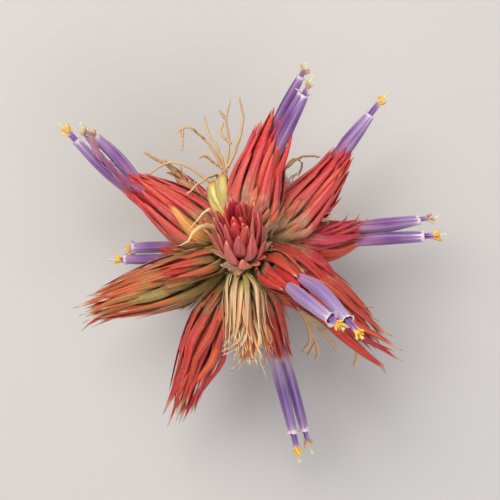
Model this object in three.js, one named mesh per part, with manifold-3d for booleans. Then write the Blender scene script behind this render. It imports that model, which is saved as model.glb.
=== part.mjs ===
// A blooming clump of a small air plant, laid on a surface. Millimetres, +Z up.
// Leafy rosettes grow from one knot of stems in every direction. Each rosette is a bundle of tapered
// leaves round a slim core, violet flower tubes stand in some of them, and wiry roots hang out between.

import * as THREE from "three";
import Module from "manifold-3d";

const wasm = await Module();
wasm.setup();

// Driving dimensions
const CLUMP_CENTRE = new THREE.Vector3(-2.62, 2.82, 42);
const CLEARANCE = 0.3;
const STEM_RADIUS = 2.4;
const KNOT_RADIUS = 7.2;
const LEAF_KEEL = 0.95;
const THINNEST_LEAF = 0.62;
const LEAF_ON_SURFACE = 0.5;
const ROOT_RADIUS = 0.55;
const GOLDEN_ANGLE = 2.399963;

// Places are measured from the middle of the clump: x to the right, y up the photograph, z to the viewer.
// bulge is the bundle's widest radius, spread its radius at the tips, outer the share of the length that
// the outermost leaves reach, bow bends the whole bundle, and blunt is the core's radius on the surface.
// keep is how far out the innermost leaves end, as a share of spread: near 1 they close round the flowers.
// full below 1 makes a bundle that opens like a cup instead of swelling at its foot.
const ROSETTES = {
  top: { base: [1.3, 8.3, 6], tip: [10.4, 46.4, 14], bulge: 9.4, spread: 4.2, leaves: 15, width: 4.6,
    outer: 0.58, keep: 0.9, bow: [-1.8, 0, 0], tint: "coral" },
  upper_right: { base: [8.6, 6.4, -3], tip: [34.5, 36.9, 2], bulge: 8.6, spread: 3, leaves: 14, width: 4.2,
    outer: 0.6, keep: 0.95, bow: [0.8, -0.8, 0], tint: "coral" },
  right: { base: [8.8, 3.2, -6], tip: [41, 8.9, -8], bulge: 7.4, spread: 4.4, leaves: 12, width: 3.6,
    outer: 0.6, keep: 0.9, bow: [0, 0, 0], tint: "red" },
  lower_right: { base: [7.8, -2.7, -3], tip: [50, -34.4, -6], bulge: 8.2, spread: 7, leaves: 17,
    width: 4.2, outer: 0.7, bow: [1.6, 2.8, 2], tint: "red" },
  lower_right_front: { base: [5.3, -1.6, 8], tip: [19.5, -11.2, 29], bulge: 6.2, spread: 3.4, leaves: 10,
    width: 3.6, outer: 0.62, keep: 0.8, bow: [0, 0, 0], tint: "red" },
  bottom: { base: [3, -6.1, -6], tip: [12.9, -37.3, -12], bulge: 6.2, spread: 3.6, leaves: 11, width: 3.6,
    outer: 0.7, keep: 0.8, bow: [0, 0, 0], tint: "red" },
  straw: { base: [-1, -3.2, 9], tip: [1.8, -35.4, 24], bulge: 6.4, spread: 8.5, leaves: 18, width: 2.7,
    outer: 0.72, bow: [-0.6, 0, 1.5], tint: "straw" },
  lower_left: { base: [-4.7, -7, -2], tip: [-22.6, -56, 2], bulge: 7.4, spread: 5.6, leaves: 16,
    width: 3.8, outer: 0.76, bow: [-1.6, 0, 0], tint: "red" },
  left: { base: [-8.6, -3, 1], tip: [-56.1, -19.8, 2], bulge: 8.8, spread: 6.2, leaves: 17, width: 4.2,
    outer: 0.76, bow: [0, 0, 0], tint: "orange" },
  back_left: { base: [-6.4, -0.4, -7], tip: [-30, 1.6, -22], bulge: 5.4, spread: 2.6, leaves: 8, width: 3.4,
    outer: 0.66, keep: 0.9, bow: [0, 0, 0], tint: "coral" },
  upper_left: { base: [-8.8, 4.2, 1], tip: [-40.6, 26.4, 6], bulge: 9.4, spread: 4.2, leaves: 15, width: 4.4,
    outer: 0.64, keep: 0.95, bow: [0.5, 0.5, 0], tint: "coral" },
  front: { base: [-0.2, -0.6, 9], tip: [-4.2, 15.6, 35], bulge: 8.6, spread: 8.6, leaves: 15, width: 4.6,
    outer: 0.66, keep: 0.16, full: 0.55, bow: [0, 0, 0], tint: "pink" },
  left_pup: { base: [-6.1, 0.4, 7], tip: [-28.5, -6.3, 20], bulge: 4.8, spread: 3.4, leaves: 8, width: 3.2,
    outer: 0.66, full: 0.8, bow: [0, 0, 1], tint: "red" },
  upper_left_pup: { base: [-4.4, 6.2, -6], tip: [-25.6, 30.3, -12], bulge: 4.8, spread: 1.4, leaves: 8,
    width: 3.4, outer: 0.7, bow: [0, 0, 0], tint: "coral" },
  foot_top: { base: [2.3, 5.6, -7.8], tip: [11.7, 30.5, -45], bulge: 7.2, spread: 4.2, leaves: 9,
    width: 4.2, outer: 0.84, bow: [0, 0, 0], tint: "coral", blunt: 1.7 },
  foot_right: { base: [5.4, -3.6, -7.6], tip: [27.8, -18.2, -45], bulge: 7.2, spread: 4.2, leaves: 9,
    width: 4.2, outer: 0.84, bow: [0, 0, 0], tint: "coral", blunt: 1.7 },
  foot_left: { base: [-6, -2.3, -7.6], tip: [-31, -11.4, -45], bulge: 7.2, spread: 4.2, leaves: 9,
    width: 4.2, outer: 0.84, bow: [0, 0, 0], tint: "orange", blunt: 1.7 },
  back: { base: [0, 0, -9.6], tip: [-1, 1, -36], bulge: 7, spread: 4, leaves: 8, width: 3.8,
    outer: 0.7, bow: [0, 0, 0], tint: "coral" },
  back_upper: { base: [-5.2, 5.4, -8], tip: [-20.4, 17.8, -33], bulge: 6.4, spread: 3.2, leaves: 8,
    width: 3.6, outer: 0.7, bow: [0, 0, 0], tint: "coral" },
  back_right: { base: [7, 2.6, -7.8], tip: [25.5, 9.4, -31], bulge: 6.6, spread: 3.2, leaves: 8,
    width: 3.6, outer: 0.7, bow: [0, 0, 0], tint: "coral" },
  back_lower: { base: [-0.6, -6.8, -8.6], tip: [-3, -26, -31], bulge: 6.8, spread: 3.6, leaves: 8,
    width: 3.6, outer: 0.7, bow: [0, 0, 0], tint: "coral" },
};

// Each flower: three points of its tube from seat to mouth, the tube's radii at the seat, the middle and
// the mouth, the radius of the flared petal tips, and how far the stamens and the style stand out.
const FLOWERS = {
  top_1: { path: [[7.2, 33.9, 10.6], [10.6, 43.9, 13.4], [17.8, 58.8, 16]], radii: [1.5, 1.95, 1.45], flare: 2.0,
    stamens: 4.2, style: 6 },
  top_2: { path: [[8.2, 31, 12.6], [13.2, 40.4, 17.6], [18.5, 52, 21]], radii: [1.7, 2.5, 2.0],
    flare: 2.5, stamens: 4.6, style: 7 },
  upper_right_1: { path: [[27, 28, 0.6], [33.4, 37, 2.4], [41.3, 47.6, 4]], radii: [1.8, 2.7, 1.5],
    flare: 2.3, stamens: 5.4, style: 8.4 },
  right_1: { path: [[31.3, 9, -7.6], [43.3, 12.7, -8.5], [58.7, 12.5, -9]], radii: [1.5, 2.15, 1.6],
    flare: 2.0, stamens: 4.6, style: 6.4 },
  right_2: { path: [[31.6, 4.8, -7.2], [43.2, 5.7, -6.6], [59.7, 7.1, -6]], radii: [1.5, 1.9, 1.6], flare: 2.3,
    stamens: 4.8, style: 6.8 },
  front_1: { path: [[15.2, -4.6, 20.4], [22.8, -9.8, 34], [31, -19.1, 47]], radii: [1.6, 2.1, 1.7],
    flare: 2.4, stamens: 4.6, style: 5.6 },
  front_2: { path: [[12.4, -8.4, 21.4], [17.2, -12, 34], [26, -18.6, 46]], radii: [1.6, 2.1, 1.7],
    flare: 2.4, stamens: 3.6, style: 4.6 },
  bottom_1: { path: [[7, -25, -9.4], [10.5, -38.1, -11.4], [16.4, -60.7, -13]], radii: [1.4, 1.65, 1.35],
    flare: 2.0, stamens: 6.2, style: 9.4 },
  bottom_2: { path: [[9.8, -24.4, -12.6], [13.4, -37.7, -14.8], [20.8, -60.2, -17.4]], radii: [1.4, 1.6, 1.35],
    flare: 1.9, stamens: 5.4, style: 7.6 },
  back_left_1: { path: [[-21.5, 3.6, -16.6], [-30.9, 4.3, -22.2], [-39.4, 3.2, -25.6]], radii: [1.4, 1.9, 1.7],
    flare: 2.2, stamens: 2.4, style: 3.2 },
  back_left_2: { path: [[-21.5, -1.2, -16.6], [-31.9, -0.7, -22.6], [-42.8, -0.9, -28]],
    radii: [1.4, 1.7, 1.5], flare: 1.9, stamens: 4.4, style: 6 },
  upper_left_1: { path: [[-31.6, 22.4, 5.4], [-41.2, 31.4, 7.2], [-47.6, 38, 9]], radii: [1.7, 2.5, 1.8],
    flare: 2.2, stamens: 2.6, style: 3.4 },
  upper_left_2: { path: [[-34.2, 18.2, 1.6], [-46.2, 28, 2.4], [-56.2, 38.3, 3.4]], radii: [1.4, 1.8, 1.5],
    flare: 1.9, stamens: 5.6, style: 7.4 },
  upper_left_3: { path: [[-33, 20, 9.4], [-43.6, 29.8, 12.2], [-52.7, 38.8, 12.6]], radii: [0.9, 1.2, 0.95],
    flare: 1.3, stamens: 3, style: 4 },
};

// Roots: the first path of each bunch grows from the knot of stems, the others branch from it.
const ROOT_BUNCHES = {
  roots_top: [
    [[-1.6, 5.4, -0.8], [-5.2, 17, -2.5], [-6.7, 27.5, -4], [-5.7, 39.3, -4], [-6.7, 46.6, -3], [-5, 53.2, -2]],
    [[-6.7, 46, -3.2], [-9, 49.2, -2]],
    [[-6.2, 30, -4], [-3.2, 37, -6], [-1, 46.2, -6], [-2.4, 54.2, -5]],
    [[-6.7, 28, -4], [-10.1, 37.7, -5], [-12.5, 41.1, -6], [-14.2, 48.1, -8]],
    [[-6.4, 26.5, -4], [-11.1, 35.9, -3], [-15.4, 40.8, -2], [-18.7, 43.1, -1], [-21, 43, 0],
      [-23.2, 40.8, 2]],
    [[-21.2, 42.8, 0], [-21.3, 35.3, 0]],
    [[-6.6, 29, -4], [-11.4, 32.1, -2], [-13.7, 33.7, 0], [-15.6, 32.9, 2]],
    [[-5, 38, -4], [-8.6, 42, -4.5], [-7.4, 45.4, -6]],
  ],
  roots_left: [
    [[-2.6, 4.8, 0.8], [-8.5, 17, -2], [-10.7, 23.5, -3], [-14.4, 26.8, -3], [-18.8, 29.8, -3],
      [-23.8, 31.8, -3], [-27.8, 30.8, -3], [-33.8, 26.8, -2]],
    [[-10.2, 22.5, -3], [-9.6, 27.2, 1], [-15.5, 24.1, 8], [-19.3, 20.3, 12]],
  ],
  roots_right: [
    [[3, 4.6, -2], [8.6, 18, -6.5], [12.1, 29, -7], [16.5, 33, -5], [18.8, 31.6, -5], [17.6, 27.3, -7]],
    [[12, 28.6, -7], [17.3, 33.2, -8.4], [20.3, 34.2, -8.6], [25.4, 33.9, -9]],
  ],
  roots_lower: [
    [[4, -2.8, -3.9], [13, -13, -13], [20, -20, -17.4], [21.8, -30.3, -20], [19, -33, -20]],
    [[19, -19, -17], [25, -32.5, -22], [24, -37, -22]],
    [[24, -30.2, -21.4], [21.6, -34.6, -23]],
    [[17, -17, -15.6], [29.9, -30, -22], [32, -33.5, -22]],
    [[18, -18, -16], [31, -27, -18.6], [38.3, -32.9, -18], [37.2, -38.4, -18]],
  ],
  roots_back: [
    [[-1.6, 1.8, -5.4], [-9, 11, -22], [-12, 20, -30], [-8, 27, -33], [-2, 25, -36]],
    [[-8.6, 10.4, -21], [-17, 9, -31], [-24, 3, -34], [-25, -4, -31]],
    [[-11.6, 18.6, -29], [-19, 25, -28], [-26, 24, -22]],
  ],
};

// Single leaves and a dry stalk that grow between the rosettes.
const SINGLE_LEAVES = {
  dry_leaf_1: { path: [[-3.2, 2.8, 4.4], [-11, 10, 13.5], [-16, 9, 18], [-19, 4.6, 17], [-23.6, 3.4, 14]],
    width: 2.6, keel: 0.8, tint: "straw" },
  dry_leaf_2: { path: [[-2.8, 3.6, 4], [-10, 14.5, 13], [-12.4, 15.6, 16.5], [-16, 11.5, 18],
    [-19.9, 7.5, 16]], width: 2.2, keel: 0.8, tint: "straw" },
  young_leaf: { path: [[-0.8, 4.4, 3.6], [-5.6, 15.6, 9.6], [-8.4, 22, 10.5], [-8.0, 28.6, 8.4]],
    width: 5.4, keel: 1, tint: "green" },
  dry_stalk: { path: [[-13.6, 17.6, -7.4], [-18.4, 22.4, -6.2], [-25.1, 29.8, -6.4], [-34.8, 35.4, -4.6]],
    width: 2.0, keel: 1.2, tint: "dry" },
};

const FINISHES = {
  coral: { color: 0xdb5a55, roughness: 0.6, metalness: 0 },
  red: { color: 0xd2433f, roughness: 0.6, metalness: 0 },
  pink: { color: 0xd9747c, roughness: 0.6, metalness: 0 },
  orange: { color: 0xd9774a, roughness: 0.62, metalness: 0 },
  straw: { color: 0xe4cfa0, roughness: 0.75, metalness: 0 },
  green: { color: 0xc6bd62, roughness: 0.6, metalness: 0 },
  dry: { color: 0x8a6a4c, roughness: 0.85, metalness: 0 },
  petal: { color: 0x8b5fae, roughness: 0.5, metalness: 0 },
  pollen: { color: 0xe8b92e, roughness: 0.7, metalness: 0 },
  root: { color: 0xcbb089, roughness: 0.85, metalness: 0 },
  stem: { color: 0x7d6a45, roughness: 0.85, metalness: 0 },
};

const plant = new THREE.Group();
plant.position.copy(CLUMP_CENTRE);

// A repeatable draw between 0 and 1 for item i and purpose k.
function draw(i, k) {
  const wave = Math.sin(i * 12.9898 + k * 78.233) * 43758.5453;
  return wave - Math.floor(wave);
}

function vector(point) {
  return new THREE.Vector3(point[0], point[1], point[2]);
}

function bezier(a, b, c, d, t) {
  const rest = 1 - t;
  return rest ** 3 * a + 3 * rest ** 2 * t * b + 3 * rest * t ** 2 * c + t ** 3 * d;
}

// Closed solid through rings of equally many points; it may end in a single point.
function solidFromRings(rings, apex) {
  const sides = rings[0].length;
  const positions = [];
  const triangles = [];
  for (const ring of rings) {
    for (const point of ring) {
      positions.push(point.x, point.y, point.z);
    }
  }
  for (let row = 0; row < rings.length - 1; row += 1) {
    for (let side = 0; side < sides; side += 1) {
      const a = row * sides + side;
      const b = row * sides + (side + 1) % sides;
      triangles.push(a, b, b + sides, a, b + sides, a + sides);
    }
  }
  for (let side = 1; side < sides - 1; side += 1) {
    triangles.push(0, side + 1, side);
  }
  const lastRow = (rings.length - 1) * sides;
  if (apex) {
    const apexIndex = positions.length / 3;
    positions.push(apex.x, apex.y, apex.z);
    for (let side = 0; side < sides; side += 1) {
      triangles.push(lastRow + side, lastRow + (side + 1) % sides, apexIndex);
    }
  } else {
    for (let side = 1; side < sides - 1; side += 1) {
      triangles.push(lastRow, lastRow + side, lastRow + side + 1);
    }
  }
  return solidFromTriangles(positions, triangles);
}

function signedVolume(positions, triangles) {
  let volume = 0;
  const corner = [new THREE.Vector3(), new THREE.Vector3(), new THREE.Vector3()];
  for (let i = 0; i < triangles.length; i += 3) {
    for (let k = 0; k < 3; k += 1) {
      corner[k].fromArray(positions, triangles[i + k] * 3);
    }
    volume += corner[0].dot(corner[1].clone().cross(corner[2])) / 6;
  }
  return volume;
}

function solidFromTriangles(positions, triangles) {
  const faces = Uint32Array.from(triangles);
  if (signedVolume(positions, triangles) < 0) {
    for (let i = 0; i < faces.length; i += 3) {
      [faces[i + 1], faces[i + 2]] = [faces[i + 2], faces[i + 1]];
    }
  }
  const mesh = new wasm.Mesh({ numProp: 3, vertProperties: Float32Array.from(positions), triVerts: faces });
  return new wasm.Manifold(mesh);
}

// Directions across a bundle whose middle line points along a given way.
function crossDirections(along) {
  const reference = Math.abs(along.z) > 0.93 ? new THREE.Vector3(1, 0, 0) : new THREE.Vector3(0, 0, 1);
  const side = new THREE.Vector3().crossVectors(reference, along).normalize();
  const lift = new THREE.Vector3().crossVectors(along, side);
  return { side, lift };
}

function ringAround(centre, along, radius, sides, turn = 0) {
  const { side, lift } = crossDirections(along);
  const ring = [];
  for (let k = 0; k < sides; k += 1) {
    const angle = turn + (k / sides) * Math.PI * 2;
    const point = centre.clone();
    point.addScaledVector(side, Math.cos(angle) * radius);
    point.addScaledVector(lift, Math.sin(angle) * radius);
    ring.push(point);
  }
  return ring;
}

// Where each rosette lies, seen from the middle of the clump, and how wide it looks from there.
for (const rosette of Object.values(ROSETTES)) {
  rosette.base = vector(rosette.base);
  rosette.tip = vector(rosette.tip);
  rosette.bow = vector(rosette.bow);
  rosette.along = rosette.tip.clone().sub(rosette.base).normalize();
  const middle = rosette.base.clone().lerp(rosette.tip, 0.38).add(rosette.bow);
  rosette.heading = middle.clone().normalize();
  rosette.halfAngle = Math.atan2(rosette.bulge, middle.length());
}

// The plane that parts two neighbours runs through the middle of the clump, nearer to the slimmer one.
function partingNormal(rosette, other) {
  const hinge = new THREE.Vector3().crossVectors(rosette.heading, other.heading).normalize();
  const apart = rosette.heading.angleTo(other.heading);
  const share = apart * rosette.halfAngle / (rosette.halfAngle + other.halfAngle);
  const ridge = rosette.heading.clone().applyAxisAngle(hinge, share);
  return new THREE.Vector3().crossVectors(ridge, hinge).normalize();
}

const NEIGHBOUR_ANGLE = 1.75;
for (const rosette of Object.values(ROSETTES)) {
  rosette.partings = [];
  for (const other of Object.values(ROSETTES)) {
    if (other !== rosette && rosette.heading.angleTo(other.heading) < NEIGHBOUR_ANGLE) {
      rosette.partings.push(partingNormal(rosette, other));
    }
  }
}

function axisPoint(rosette, s) {
  return rosette.base.clone().lerp(rosette.tip, s).addScaledVector(rosette.bow, 4 * s * (1 - s));
}

// A leaf presses against its neighbours without passing them, and lies along the surface below.
function keptClear(point, rosette, room) {
  for (let round = 0; round < 3; round += 1) {
    for (const normal of rosette.partings) {
      const inside = normal.dot(point);
      if (inside < room) {
        point.addScaledVector(normal, room - inside);
      }
    }
  }
  point.z = Math.max(point.z, LEAF_ON_SURFACE - CLUMP_CENTRE.z);
  return point;
}

// The bundle's outline: full up to a third of its length, then narrowing to the tips.
function bundleRadius(rosette, s) {
  const narrowed = Math.max((s - 0.3) / 0.7, 0) ** 1.3;
  return rosette.spread + (rosette.bulge - rosette.spread) * (1 - narrowed);
}

// Leaves rise from the stem one after another, each a golden angle further round. The first ones are the
// outermost and end low, the last ones stand in the middle and reach the tip.
const STEM_START = 0.02;
const STEM_SHARE = 0.42;
const LOOSE_KEEP = 0.3;

function leafOf(rosette, i) {
  const { outer = 0.7, keep = LOOSE_KEEP, full = 1 } = rosette;
  const inward = i / (rosette.leaves - 1);
  const start = STEM_START + STEM_SHARE * inward;
  const reach = Math.min(outer + (1 - outer) * Math.sqrt(inward) + 0.1 * (draw(i, 2) - 0.5), 1.02);
  const belly = rosette.bulge * (1 - 0.72 * inward) * (0.92 + 0.16 * draw(i, 3));
  return {
    angle: i * GOLDEN_ANGLE + 0.5 * (draw(i, 1) - 0.5),
    start,
    length: reach - start,
    radii: {
      foot: 0.8 + 0.2 * rosette.bulge * (1 - inward),
      low: 1.5 * belly * full,
      belly,
      end: bundleRadius(rosette, reach) * (1 - (1 - keep) * inward) * (0.85 + 0.3 * draw(i, 4)),
    },
    width: rosette.width * (0.88 + 0.24 * draw(i, 5)),
  };
}

function leafCentre(rosette, leaf, t, room) {
  const { start, length, radii } = leaf;
  const s = bezier(start, start + 0.12 * length, start + 0.62 * length, start + length, t);
  const radius = bezier(radii.foot, radii.low, radii.belly, radii.end, t);
  const middle = axisPoint(rosette, s);
  const { side, lift } = crossDirections(rosette.along);
  const outward = side.clone().multiplyScalar(Math.cos(leaf.angle));
  outward.addScaledVector(lift, Math.sin(leaf.angle));
  const point = keptClear(middle.clone().addScaledVector(outward, radius), rosette, room);
  return { point, outward };
}

// Width of a leaf along its length: a clasping base, full low down, then a long taper.
const LEAF_STATIONS = [[0.02, 0.8], [0.3, 1], [0.68, 0.6]];

function leafSolid(rosette, i) {
  const leaf = leafOf(rosette, i);
  const rings = [];
  for (const [t, share] of LEAF_STATIONS) {
    const width = leaf.width * share;
    const room = CLEARANCE / 2 + 0.3 * width;
    const { point, outward } = leafCentre(rosette, leaf, t, room);
    const before = leafCentre(rosette, leaf, Math.max(t - 0.02, 0), room).point;
    const after = leafCentre(rosette, leaf, t + 0.02, room).point;
    rings.push(bladeSection(point, after.sub(before).normalize(), outward, width, LEAF_KEEL * share));
  }
  const tip = leafCentre(rosette, leaf, 1, CLEARANCE).point;
  return solidFromRings(rings, tip);
}

// Three-cornered section: a flat upper face and a keel below.
function bladeSection(point, along, outward, width, keel) {
  const across = new THREE.Vector3().crossVectors(along, outward).normalize();
  const under = new THREE.Vector3().crossVectors(across, along);
  return [
    point.clone().addScaledVector(across, -width / 2),
    point.clone().addScaledVector(across, width / 2),
    point.clone().addScaledVector(under, Math.max(keel, THINNEST_LEAF)),
  ];
}

// The stem and core that the leaves of a rosette grow from: it starts inside the knot, which cuts it off.
const CORE_STATIONS = [[0.13, 0.6], [0.34, 0.58], [0.6, 0.3]];
const CORE_SIDES = 6;
const CORE_END = 0.84;

function coreSolid(rosette) {
  const foot = rosette.base.clone().multiplyScalar(0.6);
  const rings = [ringAround(foot, rosette.along, STEM_RADIUS, CORE_SIDES)];
  for (const [s, share] of CORE_STATIONS) {
    rings.push(ringAround(axisPoint(rosette, s), rosette.along, rosette.bulge * share, CORE_SIDES));
  }
  if (rosette.blunt) {
    rings.push(ringAround(axisPoint(rosette, 1), rosette.along, rosette.blunt, CORE_SIDES));
    return solidFromRings(rings);
  }
  return solidFromRings(rings, axisPoint(rosette, CORE_END));
}

// A tube with its own radius at each point of a curve, and flat at both ends.
function sweptSolid(points, radiusAt, sides, steps) {
  const curve = new THREE.CatmullRomCurve3(points);
  const rings = [];
  for (let k = 0; k <= steps; k += 1) {
    const t = k / steps;
    rings.push(ringAround(curve.getPointAt(t), curve.getTangentAt(t), radiusAt(t), sides));
  }
  return solidFromRings(rings);
}

function threeWay(values, t) {
  const [a, b, c] = values;
  return t < 0.5 ? a + (b - a) * t * 2 : b + (c - b) * (t - 0.5) * 2;
}

// A flower: a tube that swells and narrows to its mouth, with flared tips and a bore for the stamens.
const TUBE_SIDES = 8;
const TUBE_STEPS = 4;
const FLARE_LENGTH = 0.9;
const BORE_RADIUS = 0.95;
const BORE_DEPTH = 3;
const ROOM_SIDES = 6;
const FACET_ALLOWANCE = 1.1;

function flowerCurve(flower) {
  return new THREE.CatmullRomCurve3(flower.path.map(vector));
}

function flowerSolid(flower) {
  const curve = flowerCurve(flower);
  const rings = [];
  for (let k = 0; k <= TUBE_STEPS; k += 1) {
    const t = k / TUBE_STEPS;
    rings.push(ringAround(curve.getPointAt(t), curve.getTangentAt(t), threeWay(flower.radii, t), TUBE_SIDES));
  }
  const mouth = curve.getPointAt(1);
  const onward = curve.getTangentAt(1);
  const rim = mouth.clone().addScaledVector(onward, FLARE_LENGTH);
  rings.push(ringAround(rim, onward, flower.flare, TUBE_SIDES));
  rings.push(ringAround(mouth.clone().addScaledVector(onward, FLARE_LENGTH * 0.6), onward, BORE_RADIUS + 0.15,
    TUBE_SIDES));
  rings.push(ringAround(mouth.clone().addScaledVector(onward, -BORE_DEPTH), onward, BORE_RADIUS * 0.92,
    TUBE_SIDES));
  return solidFromRings(rings);
}

function flowerClearance(flower) {
  const points = flower.path.map(vector);
  const curve = flowerCurve(flower);
  points[0].addScaledVector(curve.getTangentAt(0), -CLEARANCE);
  const radiusAt = (t) => threeWay(flower.radii, t) * FACET_ALLOWANCE + CLEARANCE * 1.2;
  return sweptSolid(points, radiusAt, ROOM_SIDES, TUBE_STEPS);
}

// Stamens: a bundle of filaments that stands in the bore, anthers round its end, and a longer style.
const FILAMENT_RADIUS = 0.5;
const ANTHER_LENGTH = 2.3;
const ANTHER_RADIUS = 0.42;
const ANTHER_LEAN = 1;
const ANTHERS = 3;
const FILAMENT_SIDES = 5;

function pointedSolid(from, to, radius) {
  const along = to.clone().sub(from).normalize();
  const { side, lift } = crossDirections(along);
  const middle = from.clone().lerp(to, 0.5);
  const positions = [...from.toArray(), ...to.toArray()];
  for (let k = 0; k < 3; k += 1) {
    const angle = (k / 3) * Math.PI * 2;
    const point = middle.clone().addScaledVector(side, Math.cos(angle) * radius);
    point.addScaledVector(lift, Math.sin(angle) * radius);
    positions.push(...point.toArray());
  }
  const triangles = [0, 2, 3, 0, 3, 4, 0, 4, 2, 1, 3, 2, 1, 4, 3, 1, 2, 4];
  return solidFromTriangles(positions, triangles);
}

function stamenSolid(flower, index) {
  const curve = flowerCurve(flower);
  const mouth = curve.getPointAt(1);
  const onward = curve.getTangentAt(1);
  const { side, lift } = crossDirections(onward);
  const at = (forward, angle, radius) => mouth.clone().addScaledVector(onward, forward)
    .addScaledVector(side, Math.cos(angle) * radius).addScaledVector(lift, Math.sin(angle) * radius);
  const rings = [
    ringAround(at(-BORE_DEPTH + CLEARANCE, 0, 0), onward, FILAMENT_RADIUS, FILAMENT_SIDES),
    ringAround(at(flower.stamens, 0, 0), onward, FILAMENT_RADIUS * 0.8, FILAMENT_SIDES),
  ];
  const parts = [solidFromRings(rings, at(flower.style, 0, 0))];
  for (let k = 0; k < ANTHERS; k += 1) {
    const angle = (k / ANTHERS) * Math.PI * 2 + draw(index, k);
    const forward = flower.stamens - ANTHER_LENGTH * 0.3 + 0.5 * draw(index, k + 9);
    const from = at(forward - ANTHER_LENGTH / 2, angle, 0.1);
    const to = at(forward + ANTHER_LENGTH / 2, angle, 0.1 + ANTHER_LEAN);
    parts.push(pointedSolid(from, to, ANTHER_RADIUS));
  }
  return wasm.Manifold.union(parts);
}

// A root is a three-sided wire that thins towards its end.
const ROOT_SIDES = 3;
const ROOT_STEPS_PER_POINT = 1.35;

function rootSolid(path, grow = 0) {
  const points = path.map(vector);
  const steps = Math.max(2, Math.round((points.length - 1) * ROOT_STEPS_PER_POINT));
  return sweptSolid(points, (t) => ROOT_RADIUS * (1.05 - 0.45 * t) + grow, ROOT_SIDES, steps);
}

// A leaf or stalk on its own, with its flat face towards the viewer.
const LEAF_FACING = new THREE.Vector3(-0.3, 0.2, 1).normalize();
const SINGLE_LEAF_STEPS = 5;

function singleLeafSolid(leaf, grow = 0) {
  const curve = new THREE.CatmullRomCurve3(leaf.path.map(vector));
  const rings = [];
  for (let k = 0; k < SINGLE_LEAF_STEPS; k += 1) {
    const t = k / SINGLE_LEAF_STEPS;
    const width = leaf.width * (1 - 0.8 * t ** 2) + 2 * grow;
    const point = curve.getPointAt(t);
    const along = curve.getTangentAt(t);
    point.addScaledVector(LEAF_FACING, -grow);
    rings.push(bladeSection(point, along, LEAF_FACING, width, leaf.keel * (1 - 0.4 * t) + 2 * grow));
  }
  return solidFromRings(rings, curve.getPointAt(1));
}

// The knot of old stems in the middle, a rough lump that every rosette stands on.
function knotSolid(grow = 0) {
  const lump = new THREE.IcosahedronGeometry(KNOT_RADIUS + grow, 1);
  const place = lump.getAttribute("position");
  const positions = [];
  const triangles = [];
  const seen = new Map();
  for (let i = 0; i < place.count; i += 1) {
    const point = new THREE.Vector3().fromBufferAttribute(place, i);
    const key = point.toArray().map((value) => value.toFixed(3)).join();
    if (!seen.has(key)) {
      const bump = 1 + 0.12 * (draw(seen.size, 6) - 0.5);
      seen.set(key, seen.size);
      positions.push(...point.multiplyScalar(bump).toArray());
    }
    triangles.push(seen.get(key));
  }
  return solidFromTriangles(positions, triangles);
}

// Slivers thinner than this come from cuts and are cleaned away.
const SLIVER = 0.02;

function largestBody(solid) {
  const bodies = solid.simplify(SLIVER).decompose();
  bodies.sort((a, b) => b.volume() - a.volume());
  return bodies[0];
}

function addMesh(name, solid, finish) {
  const body = solid.getMesh();
  const geometry = new THREE.BufferGeometry();
  const positions = [];
  for (let i = 0; i < body.numVert; i += 1) {
    const start = i * body.numProp;
    positions.push(body.vertProperties[start], body.vertProperties[start + 1], body.vertProperties[start + 2]);
  }
  geometry.setAttribute("position", new THREE.Float32BufferAttribute(positions, 3));
  geometry.setIndex(Array.from(body.triVerts));
  const mesh = new THREE.Mesh(geometry, new THREE.MeshStandardMaterial(FINISHES[finish]));
  mesh.name = name;
  plant.add(mesh);
}

// Room that the rosettes leave round the finer parts. Sections with few sides need a little more of it.
const ROOT_ROOM = 1.3;
const LEAF_ROOM = 2.6;
const knot = knotSolid();
const knotRoom = knotSolid(CLEARANCE);
addMesh("stem_base", knot, "stem");

const flowerRooms = Object.values(FLOWERS).map(flowerClearance);
const rootSolids = {};
const rootRooms = [];
for (const [name, paths] of Object.entries(ROOT_BUNCHES)) {
  const bunch = wasm.Manifold.union(paths.map((path) => rootSolid(path)));
  rootSolids[name] = largestBody(bunch.subtract(knotRoom));
  rootRooms.push(wasm.Manifold.union(paths.map((path) => rootSolid(path, CLEARANCE * ROOT_ROOM))));
}
const leafRooms = Object.values(SINGLE_LEAVES).map((leaf) => singleLeafSolid(leaf, CLEARANCE * LEAF_ROOM));
const rooms = wasm.Manifold.union([knotRoom, ...flowerRooms, ...rootRooms, ...leafRooms]);

for (const [name, rosette] of Object.entries(ROSETTES)) {
  const parts = [coreSolid(rosette)];
  for (let i = 0; i < rosette.leaves; i += 1) {
    parts.push(leafSolid(rosette, i));
  }
  let solid = wasm.Manifold.union(parts);
  for (const normal of rosette.partings) {
    solid = solid.trimByPlane(normal.toArray(), CLEARANCE / 2);
  }
  solid = solid.subtract(rooms);
  solid = solid.trimByPlane([0, 0, 1], -CLUMP_CENTRE.z);
  addMesh(`rosette_${name}`, largestBody(solid), rosette.tint);
}

let flowerIndex = 0;
for (const [name, flower] of Object.entries(FLOWERS)) {
  addMesh(`flower_${name}`, flowerSolid(flower), "petal");
  addMesh(`stamens_${name}`, stamenSolid(flower, flowerIndex), "pollen");
  flowerIndex += 1;
}

for (const [name, solid] of Object.entries(rootSolids)) {
  addMesh(name, solid, "root");
}

for (const [name, leaf] of Object.entries(SINGLE_LEAVES)) {
  addMesh(name, largestBody(singleLeafSolid(leaf).subtract(knotRoom)), leaf.tint);
}

export default plant;
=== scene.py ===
# %% [markdown]
# # A blooming clump of air plant, laid on a table
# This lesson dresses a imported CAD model. The model already holds every rosette, flower and root as a
# plain solid at its real place. Here each of them gets the leaves, petals and fibres that the eye
# expects, and the CAD solid behind it is hidden. Nothing is moved: a finer piece stays where its solid is.

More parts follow.
